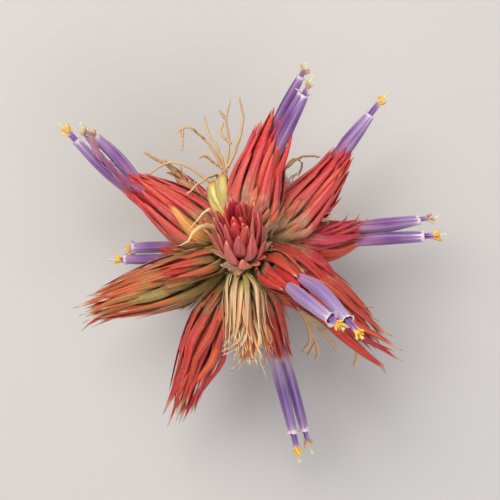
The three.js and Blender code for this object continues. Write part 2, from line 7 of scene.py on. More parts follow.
# %% Load the frame
import math
import bmesh
import bpy
import numpy as np
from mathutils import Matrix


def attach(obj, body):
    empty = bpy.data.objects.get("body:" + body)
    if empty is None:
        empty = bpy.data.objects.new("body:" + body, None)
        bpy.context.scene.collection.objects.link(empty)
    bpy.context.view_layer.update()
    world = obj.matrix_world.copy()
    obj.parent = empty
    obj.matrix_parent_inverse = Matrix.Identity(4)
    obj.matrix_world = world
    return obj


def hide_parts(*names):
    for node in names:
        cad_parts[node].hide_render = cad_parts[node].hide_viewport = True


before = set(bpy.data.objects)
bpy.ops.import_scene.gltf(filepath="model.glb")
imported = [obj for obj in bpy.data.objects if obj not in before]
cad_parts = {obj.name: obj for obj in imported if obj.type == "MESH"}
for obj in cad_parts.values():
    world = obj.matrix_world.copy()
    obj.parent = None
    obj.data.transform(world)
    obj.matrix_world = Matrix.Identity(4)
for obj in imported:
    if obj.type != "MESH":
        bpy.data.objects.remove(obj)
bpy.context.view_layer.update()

print("nodes in the frame:", len(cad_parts))

# %% [markdown]
# ## Measures
# The plant was drawn from one photograph in which a millimetre is three pixels. All the places below
# are millimetres from the middle of the clump: x to the right, y up the picture, z towards the viewer.
# Working from the middle keeps the numbers small, and one constant puts the clump on the table.

# %% Measures
MM = 0.001
CLUMP_CENTRE = np.array([-2.62, 2.82, 42.0])
GOLDEN_ANGLE = 2.399963
CLEARANCE = 0.3
LEAF_ON_SURFACE = 0.5

PHOTO_SIDE = 500
PIXELS_PER_MM = 3.0
CLUMP_PIXEL = (246, 257)
CAMERA_DISTANCE = 500.0
SENSOR_WIDTH = 36.0


def table_place(points):
    """Millimetres from the clump's middle, as metres in the frame."""
    return (np.asarray(points, dtype=float) + CLUMP_CENTRE) * MM


def draw(i, k):
    """A repeatable number between 0 and 1 for item i and purpose k."""
    wave = math.sin(i * 12.9898 + k * 78.233) * 43758.5453
    return wave - math.floor(wave)


print("the middle of the clump lies", table_place([0, 0, 0])[2], "m above the table")


# %% [markdown]
# ## Camera and light
# The plant hung in front of the photographer. Laid down, it is seen from straight above, so the camera
# looks down. Its lens is worked out, not guessed: at the middle of the clump the picture has to be
# 500 pixels, or 167 mm, wide. A large soft lamp from the upper left gives the leaves their form, and a
# weaker one from the lower right and a faint sky open up the shadows.

# %% Camera and light
def deselect_all():
    if bpy.context.object and bpy.context.object.mode != "OBJECT":
        bpy.ops.object.mode_set(mode="OBJECT")
    bpy.ops.object.select_all(action="DESELECT")


def add_camera():
    picture_width = PHOTO_SIDE / PIXELS_PER_MM
    aside = np.array([(PHOTO_SIDE / 2 - CLUMP_PIXEL[0]) / PIXELS_PER_MM,
                      (CLUMP_PIXEL[1] - PHOTO_SIDE / 2) / PIXELS_PER_MM, CAMERA_DISTANCE])
    bpy.ops.object.camera_add(location=table_place(aside), rotation=(0, 0, 0))
    camera = bpy.context.object
    camera.data.sensor_width = SENSOR_WIDTH
    camera.data.lens = SENSOR_WIDTH * CAMERA_DISTANCE / picture_width
    camera.data.clip_start = 0.01
    bpy.context.scene.camera = camera
    return camera


def add_lamp(name, place, size, power, colour):
    bpy.ops.object.light_add(type="AREA", location=place)
    lamp = bpy.context.object
    lamp.name = name
    lamp.data.size = size
    lamp.data.energy = power
    lamp.data.color = colour
    towards = -lamp.location
    lamp.rotation_mode = "QUATERNION"
    lamp.rotation_quaternion = towards.to_track_quat("-Z", "Y")
    return lamp


SKY_COLOUR = (0.93, 0.95, 1.0, 1)
SKY_STRENGTH = 0.27

deselect_all()
camera = add_camera()
add_lamp("key_lamp", place=(-0.34, 0.44, 0.76), size=0.70, power=8.8, colour=(1.0, 0.95, 0.88))
add_lamp("fill_lamp", place=(0.45, -0.50, 0.60), size=0.90, power=4.2, colour=(0.98, 0.96, 1.0))
world = bpy.data.worlds.new("studio")
bpy.context.scene.world = world
world.use_nodes = True
sky = world.node_tree.nodes["Background"]
sky.inputs["Color"].default_value = SKY_COLOUR
sky.inputs["Strength"].default_value = SKY_STRENGTH
print("lens:", round(camera.data.lens, 1), "mm")

# %% [markdown]
# ## Nodes for materials
# Writing out every socket makes a material hard to read. So one helper adds a node and fills its inputs,
# and a node's output can be used like a number: every plus, minus or times sign in a formula adds one
# Math node. The shading then reads as sums, and Blender still gets plain nodes.

# %% Node helpers
class Value:
    """A number that changes over the surface: a node's output, ready to be used in a formula."""

    def __init__(self, socket):
        self.socket = socket
        self.tree = socket.id_data

    def join(self, operation, *values):
        node = add_node(self.tree, "ShaderNodeMath", dict(enumerate(values)), operation=operation)
        return Value(node.outputs[0])

    def __add__(self, other):
        return self.join("ADD", self, other)

    def __sub__(self, other):
        return self.join("SUBTRACT", self, other)

    def __rsub__(self, other):
        return self.join("SUBTRACT", other, self)

    def __mul__(self, other):
        return self.join("MULTIPLY", self, other)

    def __abs__(self):
        return self.join("ABSOLUTE", self)


def fill_inputs(node, inputs):
    """Gives each named input a number or a colour, or links it to another node's output."""
    for key, value in inputs.items():
        if isinstance(value, Value):
            value = value.socket
        if isinstance(value, bpy.types.NodeSocket):
            node.id_data.links.new(value, node.inputs[key])
        else:
            node.inputs[key].default_value = value


def add_node(tree, kind, inputs=None, **settings):
    node = tree.nodes.new(kind)
    for key, value in settings.items():
        setattr(node, key, value)
    fill_inputs(node, inputs or {})
    return node


def held(value):
    """The same value, kept between 0 and 1 by the node that makes it."""
    value.socket.node.use_clamp = True
    return value


def ramp_between(value, low, high):
    """0 at low, 1 at high, and a smooth step between them."""
    inputs = {"Value": value, "From Min": low, "From Max": high}
    node = add_node(value.tree, "ShaderNodeMapRange", inputs, interpolation_type="SMOOTHSTEP")
    return Value(node.outputs["Result"])


def mix_colour(share, low, high):
    """The first colour where share is 0, the second where it is 1."""
    return add_node(share.tree, "ShaderNodeMix", {0: share, 6: low, 7: high}, data_type="RGBA").outputs[2]


def shade_colour(colour, shade):
    """The colour times a number."""
    grey = add_node(shade.tree, "ShaderNodeCombineColor", {0: shade, 1: shade, 2: shade}).outputs[0]
    inputs = {0: 1.0, 6: colour, 7: grey}
    return add_node(shade.tree, "ShaderNodeMix", inputs, data_type="RGBA", blend_type="MULTIPLY").outputs[2]


def rgb(red, green, blue):
    """A colour as seen on screen, 0 to 255, turned into the linear light that the shader wants."""
    values = [(value / 255) ** 2.2 for value in (red, green, blue)]
    return (*values, 1.0)


print("a middle grey is", round(rgb(128, 128, 128)[0], 3), "in linear light")

# %% [markdown]
# ## What every skin reads and gives
# A skin is a shared node group. It reads the numbers that each mesh carries, the mesh's own UV map and
# its object coordinates, and it gives a colour, a roughness and a height. Noise that is drawn out along
# the UV map makes streaks that follow a bent leaf. Noise on object coordinates makes its blotches.

# %% Skin helpers
SKIN_OUTPUTS = {"Colour": "NodeSocketColor", "Roughness": "NodeSocketFloat", "Height": "NodeSocketFloat"}


def new_skin(name, inputs):
    """A node group, and its inputs by name."""
    group = bpy.data.node_groups.new(name, "ShaderNodeTree")
    for label, value in inputs.items():
        kind = "NodeSocketColor" if isinstance(value, tuple) else "NodeSocketFloat"
        group.interface.new_socket(label, in_out="INPUT", socket_type=kind).default_value = value
    for label, kind in SKIN_OUTPUTS.items():
        group.interface.new_socket(label, in_out="OUTPUT", socket_type=kind)
    given = group.nodes.new("NodeGroupInput").outputs
    return group, {label: Value(given[label]) for label in inputs}


def hand_out(group, *values):
    """Links the finished colour, roughness and height to the group's outputs."""
    fill_inputs(group.nodes.new("NodeGroupOutput"), dict(zip(SKIN_OUTPUTS, values)))
    return group


def surface_value(tree, name):
    """A number that the mesh carries at each of its corners."""
    return Value(add_node(tree, "ShaderNodeAttribute", attribute_name=name).outputs["Fac"])


def surface_maps(tree):
    uv = add_node(tree, "ShaderNodeUVMap", uv_map="UVMap").outputs["UV"]
    return uv, add_node(tree, "ShaderNodeTexCoord").outputs["Object"]


def stretched(uv, stretch, offset):
    """A UV map drawn out, and moved so that two leaves don't look alike."""
    tree = uv.id_data
    drawn = add_node(tree, "ShaderNodeVectorMath", {0: uv, 1: stretch}, operation="MULTIPLY").outputs[0]
    return add_node(tree, "ShaderNodeVectorMath", {0: drawn, 1: offset}, operation="ADD").outputs[0]


def noise(at, scale, detail):
    inputs = {"Vector": at, "Scale": scale, "Detail": detail}
    return Value(add_node(at.id_data, "ShaderNodeTexNoise", inputs).outputs["Fac"])


print("outputs of a skin:", ", ".join(SKIN_OUTPUTS))


# %% [markdown]
# ## The skin of a leaf
# Every leaf goes from a tan, scaly sheath through coral to a pale tip, and the whole of it carries the
# silver scales that catch dew. One group makes that skin for all the rosettes. In the leaf's UV map, U
# runs across the blade and V from base to tip. Three attributes tell leaves apart: tone is a random
# number for each, inner is how far inside it sits, and age is how far the sheath's colour has crept up.

# %% Leaf skin group
LEAF_INPUTS = {"Sheath": rgb(176, 152, 110), "Sheath Green": rgb(132, 130, 78), "Body": rgb(215, 85, 75),
               "Flush": rgb(200, 45, 50), "Tip": rgb(235, 215, 180), "Silver": 0.5, "Sheath End": 0.4,
               "Tip Start": 0.86}
# The pale colour of the silver scales, also laid on the leaf edges as a painted highlight
FROST_AND_EDGE_HIGHLIGHT = rgb(238, 196, 176)
TIP_FADE = 0.1


def make_leaf_skin():
    group, given = new_skin("leaf_skin", LEAF_INPUTS)
    tone, inner, age = (surface_value(group, name) for name in ("tone", "inner", "age"))
    uv, place = surface_maps(group)
    parts = add_node(group, "ShaderNodeSeparateXYZ", {"Vector": uv}).outputs
    across, along = Value(parts["X"]), Value(parts["Y"])
    offset = add_node(group, "ShaderNodeCombineXYZ", {"X": tone, "Y": tone, "Z": tone * 37.0}).outputs[0]
    streak = noise(stretched(uv, (34.0, 2.2, 1.0), offset), 1.0, 3.0)
    furrow = noise(stretched(uv, (9.0, 1.3, 1.0), offset), 1.0, 2.0)
    cloud = noise(place, 190.0, 4.0)
    fleck = ramp_between(noise(place, 2600.0, 2.0), 0.50, 0.66)
    dust = ramp_between(noise(place, 850.0, 2.0), 0.48, 0.64)
    scales = (fleck + dust) * 0.55

    # Where the sheath ends, and how far the flush has come
    wander = (cloud - 0.5) * 0.5
    spread = (tone - 0.5) * 0.22
    reach = along + (wander + spread) - age * 0.8
    past_sheath = ramp_between(reach, given["Sheath End"] * 0.35, given["Sheath End"])
    flushed = held(inner * ramp_between(along, 0.25, 0.7))
    flushed = held(flushed + wander * 1.2)
    green = ramp_between(cloud + spread * 0.8, 0.42, 0.62)
    body = mix_colour(flushed, given["Body"], given["Flush"])
    sheath = mix_colour(green, given["Sheath"], given["Sheath Green"])
    colour = mix_colour(past_sheath, sheath, body)

    # Fine lines along the leaf, with painted shade in its furrows and a painted highlight on the ridges, and
    # a tone of its own for each
    furrow_shade = ramp_between(furrow, 0.5, 0.68) * -0.36
    ridge_highlight = ramp_between(furrow, 0.5, 0.34) * 0.22
    fine_line = ramp_between(streak, 0.5, 0.7) * -0.16
    bright = tone * 0.28 + 0.80 + (fine_line + (furrow_shade + ridge_highlight))
    toned = {"Color": colour, "Hue": tone * 0.03 + 0.490, "Saturation": 1.12 - streak * 0.22,
             "Value": bright}
    colour = add_node(group, "ShaderNodeHueSaturation", toned).outputs["Color"]

    # Silver scales, densest on the sheath; pale edges that are partly silver scales and partly a painted
    # highlight; and last the tip
    silver = scales * (1.0 - past_sheath * 0.78) * given["Silver"]
    edge_frost_and_highlight = ramp_between(abs(across - 0.5), 0.30, 0.42) * 0.9 * given["Silver"]
    frost_and_edge_highlight = held(silver + edge_frost_and_highlight)
    colour = mix_colour(frost_and_edge_highlight, colour, FROST_AND_EDGE_HIGHLIGHT)
    tipped = ramp_between(along + spread * 0.25, given["Tip Start"], given["Tip Start"] + TIP_FADE)
    colour = mix_colour(tipped, colour, given["Tip"])
    return hand_out(group, colour, frost_and_edge_highlight * 0.35 + 0.46, streak * 0.3 - furrow + scales * 0.25)


LEAF_SKIN = make_leaf_skin()
print("leaf skin nodes:", len(LEAF_SKIN.nodes))

# %% [markdown]
# ## Materials from a skin
# The shader itself stays in each material, because its gloss and sheen are the same all over. The group
# only hands it what changes from place to place: colour, roughness, and the height for the bump. A row
# of the table gives the colours of the sheath, its green parts, the body, the flush and the tip, then
# how silver the leaf is, where its sheath ends and where its tip starts.

# %% Materials from a skin
def skin_material(name, group, finish, sheen=0.0, bump=0.25, depth=0.0003, subsurface=0.0):
    """A material whose finish holds the skin's values, in the order of its inputs."""
    material = bpy.data.materials.new(name)
    material.use_nodes = True
    tree = material.node_tree
    skin = add_node(tree, "ShaderNodeGroup", node_tree=group)
    for socket, value in zip(skin.inputs, finish):
        socket.default_value = rgb(*value) if isinstance(value, tuple) else value
    relief = add_node(tree, "ShaderNodeBump", {
        "Strength": bump, "Distance": depth, "Height": skin.outputs["Height"]})
    fill_inputs(tree.nodes["Principled BSDF"], {
        "Base Color": skin.outputs["Colour"], "Roughness": skin.outputs["Roughness"],
        "Normal": relief.outputs["Normal"], "Sheen Weight": sheen, "Sheen Roughness": 0.45,
        "Subsurface Weight": subsurface, "Subsurface Radius": (0.0012, 0.0007, 0.0006)})
    return material


LEAF_FINISHES = {
    "coral": ((204, 150, 112), (166, 130, 86), (226, 78, 78), (230, 42, 62), (230, 132, 118),
              0.36, 0.59, 0.94),
    "red": ((180, 140, 98), (138, 112, 62), (212, 68, 54), (196, 26, 36), (228, 184, 150),
            0.28, 0.4, 0.88),
    "rose": ((176, 134, 106), (134, 108, 66), (204, 62, 66), (198, 32, 50), (232, 140, 128),
             0.34, 0.5, 0.92),
    "flame": ((150, 122, 64), (124, 110, 54), (212, 96, 66), (208, 40, 42), (216, 90, 70),
              0.24, 0.6, 0.92),
    "pink": ((206, 168, 138), (132, 130, 78), (246, 124, 120), (240, 62, 84), (246, 160, 150),
             0.6, 0.42, 0.93),
    "orange": ((146, 116, 54), (122, 118, 46), (206, 104, 52), (208, 66, 44), (238, 220, 190),
               0.22, 0.66, 0.88),
    "straw": ((186, 176, 92), (160, 152, 62), (236, 198, 152), (232, 128, 66), (244, 224, 192),
              0.3, 0.44, 0.86),
    "amber": ((178, 148, 78), (150, 138, 64), (220, 136, 80), (216, 108, 68), (214, 84, 66),
              0.3, 0.4, 0.8),
    "husk": ((168, 138, 92), (140, 122, 72), (188, 142, 100), (178, 104, 74), (226, 200, 160),
             0.4, 0.4, 0.8),
    "green": ((206, 206, 164), (186, 190, 128), (218, 204, 120), (230, 160, 66), (226, 150, 60),
              0.6, 0.7, 0.86),
}
LEAF_MATERIALS = {
    name: skin_material(f"leaf_{name}", LEAF_SKIN, finish, sheen=0.1, bump=0.55, depth=0.0005)
    for name, finish in LEAF_FINISHES.items()
}
print("leaf materials:", ", ".join(LEAF_MATERIALS))

# %% [markdown]
# ## One leaf blade
# A leaf of this plant is a gutter: rounded below, hollow above, widest in its clasping sheath and drawn
# out to a needle. An eight-sided cylinder is a good start. It is cut into rings, its upper side is
# pushed in to make the gutter, each ring is scaled to the leaf's outline, and the last one is merged to
# a point. It is one unit long and one unit wide, so every leaf of the clump can be scaled from it.

# %% Model the leaf blade
LEAF_RINGS = 11
LEAF_OUTLINE = [0.95, 1.15, 1.16, 1.08, 0.98, 0.86, 0.73, 0.59, 0.44, 0.29, 0.12]
EDGE_LIFT, SHOULDER_LIFT, KEEL_LIFT, HOLLOW_LIFT, FLOOR_LIFT = -0.08, 0.045, 0.10, -0.06, -0.02


def pick_vertices(mesh_object, wanted):
    """Selects the vertices that wanted(place) accepts, in edit mode."""
    mesh = bmesh.from_edit_mesh(mesh_object.data)
    for vertex in mesh.verts:
        vertex.select = bool(wanted(vertex.co))
    mesh.select_mode = {"VERT"}
    mesh.select_flush_mode()
    bmesh.update_edit_mesh(mesh_object.data)


def pick_edges(mesh_object, wanted):
    """Selects the edges whose two ends wanted(a, b) accepts, in edit mode."""
    mesh = bmesh.from_edit_mesh(mesh_object.data)
    bpy.context.tool_settings.mesh_select_mode = (False, True, False)
    for face in mesh.faces:
        face.select = False
    for edge in mesh.edges:
        edge.select = bool(wanted(edge.verts[0].co, edge.verts[1].co))
    bmesh.update_edit_mesh(mesh_object.data)


def model_blade():
    deselect_all()
    bpy.ops.mesh.primitive_cylinder_add(vertices=8, radius=0.5, depth=1, location=(0, 0, 0.5))
    blade = bpy.context.object
    bpy.ops.object.transform_apply(location=True)
    bpy.ops.object.mode_set(mode="EDIT")
    pick_edges(blade, lambda a, b: abs(a.z - b.z) > 0.5)
    bpy.ops.mesh.subdivide(number_cuts=LEAF_RINGS - 2)
    bpy.context.tool_settings.mesh_select_mode = (True, False, False)
    for angle, lift in ((0, EDGE_LIFT), (45, SHOULDER_LIFT), (90, KEEL_LIFT), (135, SHOULDER_LIFT),
                        (180, EDGE_LIFT), (225, HOLLOW_LIFT), (270, FLOOR_LIFT), (315, HOLLOW_LIFT)):
        x, y = math.cos(math.radians(angle)) / 2, math.sin(math.radians(angle)) / 2
        pick_vertices(blade, lambda co: abs(co.x - x) < 0.01 and abs(co.y - y) < 0.01)
        bpy.ops.transform.translate(value=(0, lift - y, 0))
    for ring, width in enumerate(LEAF_OUTLINE):
        height = ring / (LEAF_RINGS - 1)
        pick_vertices(blade, lambda co: abs(co.z - height) < 0.01)
        bpy.ops.transform.resize(value=(width, 0.35 + 0.65 * width, 1), center_override=(0, 0, height))
    pick_vertices(blade, lambda co: co.z > 0.99)
    bpy.ops.mesh.merge(type="CENTER")
    bpy.ops.object.mode_set(mode="OBJECT")
    return blade


def take_shape(pattern):
    """The corner places and the faces of a modelled pattern, which is then removed."""
    places = np.empty(len(pattern.data.vertices) * 3)
    pattern.data.vertices.foreach_get("co", places)
    faces = [tuple(face.vertices) for face in pattern.data.polygons]
    bpy.data.objects.remove(pattern, do_unlink=True)
    return places.reshape(-1, 3), faces


BLADE = take_shape(model_blade())
print("leaf blade:", len(BLADE[0]), "corners,", len(BLADE[1]), "faces")

# %% [markdown]
# ## Laying a pattern along a line
# Leaves, roots and filaments are all one straight pattern bent along its own line. For each ring of the
# pattern the line gives a place and two directions: across the blade, and out towards its keel. Then the
# ring's corners are simply measured off along those two. Many laid patterns are joined in one mesh.

# %% Lay patterns and join them
BLADE_GIRTH = 1.25
LOWEST_CORNER = 0.00003


def unit(vectors):
    vectors = np.asarray(vectors, dtype=float)
    return vectors / np.maximum(np.linalg.norm(vectors, axis=-1, keepdims=True), 1e-9)


def lay_pattern(pattern, line, outward, width, twist=0.0, tone=0.5, inner=0.0, age=0.0):
    """One copy of a unit pattern along a line of as many points as the pattern has rings."""
    places, faces = pattern
    rings = len(line)
    along = unit(np.gradient(line, axis=0))
    across = unit(np.cross(along, outward))
    under = np.cross(across, along)
    share = places[:, 2]
    ring = np.rint(share * (rings - 1)).astype(int)
    turn = twist * share ** 1.5
    x = places[:, 0] * np.cos(turn) - places[:, 1] * np.sin(turn)
    y = places[:, 0] * np.sin(turn) + places[:, 1] * np.cos(turn)
    widths = np.broadcast_to(width, (rings,))[ring]
    corners = line[ring] + across[ring] * (x * widths)[:, None] + under[ring] * (y * widths)[:, None]
    chart = np.stack([np.clip(0.5 + places[:, 0] / BLADE_GIRTH, 0, 1), share], axis=1)
    return {"corners": corners, "faces": faces, "chart": chart, "tone": tone, "inner": inner, "age": age}


def add_piece(name, laid, material, slot, *nodes):
    """Joins laid patterns in one object of the frame."""
    corners = np.concatenate([table_place(item["corners"]) for item in laid])
    corners[:, 2] = np.maximum(corners[:, 2], LOWEST_CORNER)
    faces, first = [], 0
    for item in laid:
        faces.extend([tuple(first + corner for corner in face) for face in item["faces"]])
        first += len(item["corners"])
    mesh = bpy.data.meshes.new(name)
    mesh.from_pydata(corners.tolist(), [], faces)
    chart = np.concatenate([item["chart"] for item in laid])
    corner_index = np.empty(len(mesh.loops), dtype=int)
    mesh.loops.foreach_get("vertex_index", corner_index)
    mesh.uv_layers.new(name="UVMap").data.foreach_set("uv", chart[corner_index].ravel())
    for key in ("tone", "inner", "age"):
        values = [np.full(len(item["corners"]), item.get(key, 0.0), dtype=float) for item in laid]
        mesh.attributes.new(key, "FLOAT", "POINT").data.foreach_set("value", np.concatenate(values))
    mesh.materials.append(material)
    piece = bpy.data.objects.new(name, mesh)
    bpy.context.scene.collection.objects.link(piece)
    deselect_all()
    piece.select_set(True)
    bpy.context.view_layer.objects.active = piece
    bpy.ops.object.shade_smooth()
    if nodes:
        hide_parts(*nodes)
    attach(piece, "root")
    return piece


print("a vector of 3, 4, 0 has the direction", unit([3, 4, 0]))


# %% [markdown]
# ## Smooth lines through a few points
# Flowers, roots and single leaves follow a curve through a handful of points. It is the kind of curve
# that the CAD source uses, so the finer piece runs close to its solid. It is cut into equal steps, one
# for each ring of the pattern that is laid along it.

# %% Smooth lines
STEPS_BETWEEN = 24


def smooth_line(points, count):
    points = [np.array(point, float) for point in points]
    knots = [2 * points[0] - points[1], *points, 2 * points[-1] - points[-2]]
    fine = []
    for a, b, c, d in zip(knots, knots[1:], knots[2:], knots[3:]):
        before, here, after = (max(np.linalg.norm(q - p), 1e-6) ** 0.5 for p, q in ((a, b), (b, c), (c, d)))
        leave = ((b - a) / before - (c - a) / (before + here) + (c - b) / here) * here
        arrive = ((c - b) / here - (d - b) / (here + after) + (d - c) / after) * here
        t = np.linspace(0, 1, STEPS_BETWEEN, endpoint=False)[:, None]
        fine.append((2 * t ** 3 - 3 * t ** 2 + 1) * b + (t ** 3 - 2 * t ** 2 + t) * leave
                    + (3 * t ** 2 - 2 * t ** 3) * c + (t ** 3 - t ** 2) * arrive)
    fine = np.concatenate([*fine, [points[-1]]])
    gone = np.concatenate([[0], np.cumsum(np.linalg.norm(np.diff(fine, axis=0), axis=1))])
    steps = np.linspace(0, gone[-1], count)
    return np.stack([np.interp(steps, gone, fine[:, axis]) for axis in range(3)], axis=1)


arch = smooth_line([(0, 0, 0), (1, 1, 0), (2, 0, 0)], 5)
print("an arch in 5 steps is", arch[:, 1].round(2), "high")

# %% [markdown]
# ## Where each rosette grows
# A row gives the finish, the ends of the bundle's middle line, its widest radius, its radius at the tips,
# the number and width of its leaves, and how far up the outermost ones reach. The lines start from those
# of the CAD source, and a few tips and radii were drawn in a little after a look at the render. The
# solids have a dozen thick leaves each. The real plant has two or three times as many thinner ones, so
# the counts are higher here, and curl, sway and twist make the leaves less regular. Of the other words,
# bow bends the middle line, keep is the share of the tips' radius that the inner leaves keep, old counts
# the short leaves at the foot, and full is how far leaves swell out near their start.

# %% Rosette table
HEADING_SHARE = 0.38


def rosette(finish, base, tip, bulge, spread, leaves, width, outer, bow=(0, 0, 0), keep=0.3, curl=0.6,
            sway=1.0, old=12, full=1.0):
    row = dict(finish=finish, bulge=bulge, spread=spread, leaves=leaves, width=width, outer=outer, keep=keep,
               curl=curl, sway=sway, old=old, full=full)
    row["base"], row["tip"], row["bow"] = (np.array(place, float) for place in (base, tip, bow))
    row["along"] = unit(row["tip"] - row["base"])
    middle = row["base"] * (1 - HEADING_SHARE) + row["tip"] * HEADING_SHARE + row["bow"]
    row["heading"] = unit(middle)
    row["half_angle"] = math.atan2(bulge, np.linalg.norm(middle))
    return row


ROSETTES = {
    "top": rosette("coral", (1.3, 8.3, 6), (10.4, 46.4, 14), 9.4, 4.0, 50, 4.7, 0.6, (-1.8, 0, 0),
                   keep=0.9, curl=0.3),
    "upper_right": rosette("coral", (8.6, 6.4, -3), (34.5, 36.9, 2), 8.6, 3.0, 46, 4.5, 0.62, (0.8, -0.8, 0),
                           keep=0.95, curl=0.3),
    "right": rosette("rose", (8.8, 3.2, -6), (41, 8.9, -8), 7.4, 4.0, 36, 3.9, 0.6,
                     keep=0.9, curl=0.25, sway=0.8),
    "lower_right": rosette("red", (7.8, -2.7, -3), (45.5, -31, -5), 8.2, 6.4, 34, 3.6, 0.7, (1.6, 2.8, 2)),
    "lower_right_front": rosette("red", (5.3, -1.6, 8), (19.5, -11.2, 29), 6.2, 3.4, 18, 5.0, 0.76,
                                 keep=0.8, curl=0.2, old=8),
    "bottom": rosette("red", (3, -6.1, -6), (12.9, -37.3, -12), 6.2, 3.6, 32, 2.8, 0.7, keep=0.8, curl=1.2),
    "straw": rosette("straw", (-1, -3.2, 9), (1.8, -33.6, 24), 6.4, 8.5, 60, 1.9, 0.72, (-0.6, 0, 1.5),
                     keep=0.25, curl=1.6, sway=3.0),
    "lower_left": rosette("red", (-4.7, -7, -2), (-21.6, -53, 2), 7.4, 5.6, 44, 3.0, 0.76, (-1.6, 0, 0)),
    "left": rosette("orange", (-8.6, -3, 1), (-53, -18.2, 2), 8.8, 5.4, 52, 3.2, 0.76),
    "back_left": rosette("coral", (-6.4, -0.4, -7), (-30, 1.6, -22), 5.4, 2.6, 22, 3.2, 0.66, keep=0.9),
    "upper_left": rosette("coral", (-8.8, 4.2, 1), (-40.6, 26.4, 6), 9.4, 3.3, 46, 4.7, 0.68, (0.5, 0.5, 0),
                          keep=0.95, curl=0.2),
    "front": rosette("pink", (-0.2, -0.6, 9), (-4.2, 15.6, 35), 8.6, 8.6, 34, 5.2, 0.62,
                     keep=0.2, curl=1.5, sway=2.0, old=14, full=0.55),
    "left_pup": rosette("flame", (-6.1, 0.4, 7), (-28.5, -6.3, 20), 4.8, 3.4, 15, 3.4, 0.66, (0, 0, 1),
                        curl=0.8, old=8, full=0.8),
    "upper_left_pup": rosette("coral", (-4.4, 6.2, -6), (-25.6, 30.3, -12), 4.8, 1.4, 16, 3.4, 0.66),
    "foot_top": rosette("coral", (2.3, 5.6, -7.8), (11.7, 30.5, -45), 7.2, 4.2, 30, 3.6, 0.8),
    "foot_right": rosette("coral", (5.4, -3.6, -7.6), (27.8, -18.2, -45), 7.2, 4.2, 30, 3.6, 0.8),
    "foot_left": rosette("orange", (-6, -2.3, -7.6), (-31, -11.4, -45), 7.2, 4.2, 30, 3.6, 0.8),
    "back": rosette("coral", (0, 0, -9.6), (-1, 1, -36), 7, 4, 30, 3.4, 0.7),
    "back_upper": rosette("coral", (-5.2, 5.4, -8), (-20.4, 17.8, -33), 6.4, 3.2, 26, 3.2, 0.7),
    "back_right": rosette("coral", (7, 2.6, -7.8), (25.5, 9.4, -31), 6.6, 3.2, 28, 3.2, 0.7),
    "back_lower": rosette("coral", (-0.6, -6.8, -8.6), (-3, -26, -31), 6.8, 3.6, 28, 3.2, 0.7),
}
print("leaves in the rosettes:", sum(one["leaves"] + one["old"] for one in ROSETTES.values()))

# %% [markdown]
# ## Keeping neighbours apart
# Twenty-one bundles start from one knot, so their leaves would run through each other. Two neighbours
# are parted by a plane through the middle of the clump, nearer to the slimmer one. A leaf that would
# pass the plane is pressed back on it, which is also what real leaves do when rosettes grow crowded.

# %% Parting planes
NEIGHBOUR_ANGLE = 1.75


def parting_normal(one, other, apart):
    """The way across the plane between two neighbours whose headings are so far apart."""
    hinge = unit(np.cross(one["heading"], other["heading"]))
    share = apart * one["half_angle"] / (one["half_angle"] + other["half_angle"])
    ridge = one["heading"] * math.cos(share) + np.cross(hinge, one["heading"]) * math.sin(share)
    return unit(np.cross(ridge, hinge))


def kept_clear(points, one, room):
    """The points, pressed back from the neighbours' planes and from the table."""
    points = points.copy()
    for _ in range(3):
        for normal in one["partings"]:
            points += normal * np.maximum(room - points @ normal, 0)[:, None]
    points[:, 2] = np.maximum(points[:, 2], LEAF_ON_SURFACE - CLUMP_CENTRE[2])
    return points


for name, one in ROSETTES.items():
    others = [other for key, other in ROSETTES.items() if key != name]
    angles = [math.acos(float(np.clip(one["heading"] @ other["heading"], -1, 1))) for other in others]
    one["partings"] = [parting_normal(one, other, apart) for other, apart in zip(others, angles)
                       if apart < NEIGHBOUR_ANGLE]
print("partings:", {name: len(one["partings"]) for name, one in ROSETTES.items()})

# %% [markdown]
# ## Curves and directions
# How far a leaf stands off the middle of its bundle is a smooth curve between four numbers, and so is its
# way up the bundle. To place leaves all round, two directions across the middle line are mixed by an
# angle: all of the one at 0 degrees, all of the other at 90.

# %% Curves and directions
def bezier(a, b, c, d, t):
    rest = 1 - t
    return rest ** 3 * a + 3 * rest ** 2 * t * b + 3 * rest * t ** 2 * c + t ** 3 * d


def cross_directions(along):
    """Two directions across a line, as the CAD source picks them."""
    reference = np.array([1.0, 0, 0]) if abs(along[2]) > 0.93 else np.array([0, 0, 1.0])
    side = unit(np.cross(reference, along))
    return side, np.cross(along, side)


def turned(side, lift, angle):
    """The direction at an angle between two that cross a line."""
    return side * math.cos(angle) + lift * math.sin(angle)


print("halfway along a curve from 0 to 1:", bezier(0, 0, 1, 1, 0.5))

# %% [markdown]
# ## The line of a leaf
# A rosette makes its leaves one after another, each a golden angle further round, so no two stand in
# line. The first ones are the outermost: they start low, swell out and stop early. Later ones start
# higher and hug the middle, and the last of them reach the flowers. One rule with a few repeatable
# draws gives every leaf its line. The short old leaves round the foot have a simpler rule.

# %% Leaf lines
FIRST_START = 0.02
START_CLIMB = 0.42
FURTHEST = 1.02
FULL_UNTIL = 0.3
FLICK = 2.2
DRIFT = 2.4
OLD_START = -0.04
OLD_TURN = 1.1
OLD_TIP_LEFT = 0.8


def bundle_radius(one, s):
    """The bundle's outline: full for about a third of its length, then narrowing to the tips."""
    share = max((s - FULL_UNTIL) / (1 - FULL_UNTIL), 0.0) ** 1.3
    return one["spread"] + (one["bulge"] - one["spread"]) * (1 - share)


def leaf_room(width, t):
    """How far a leaf's middle line stays from the neighbours' planes, less towards its tip."""
    return CLEARANCE / 2 + 0.3 * width * np.minimum(1.0, 1.25 * (1 - t))


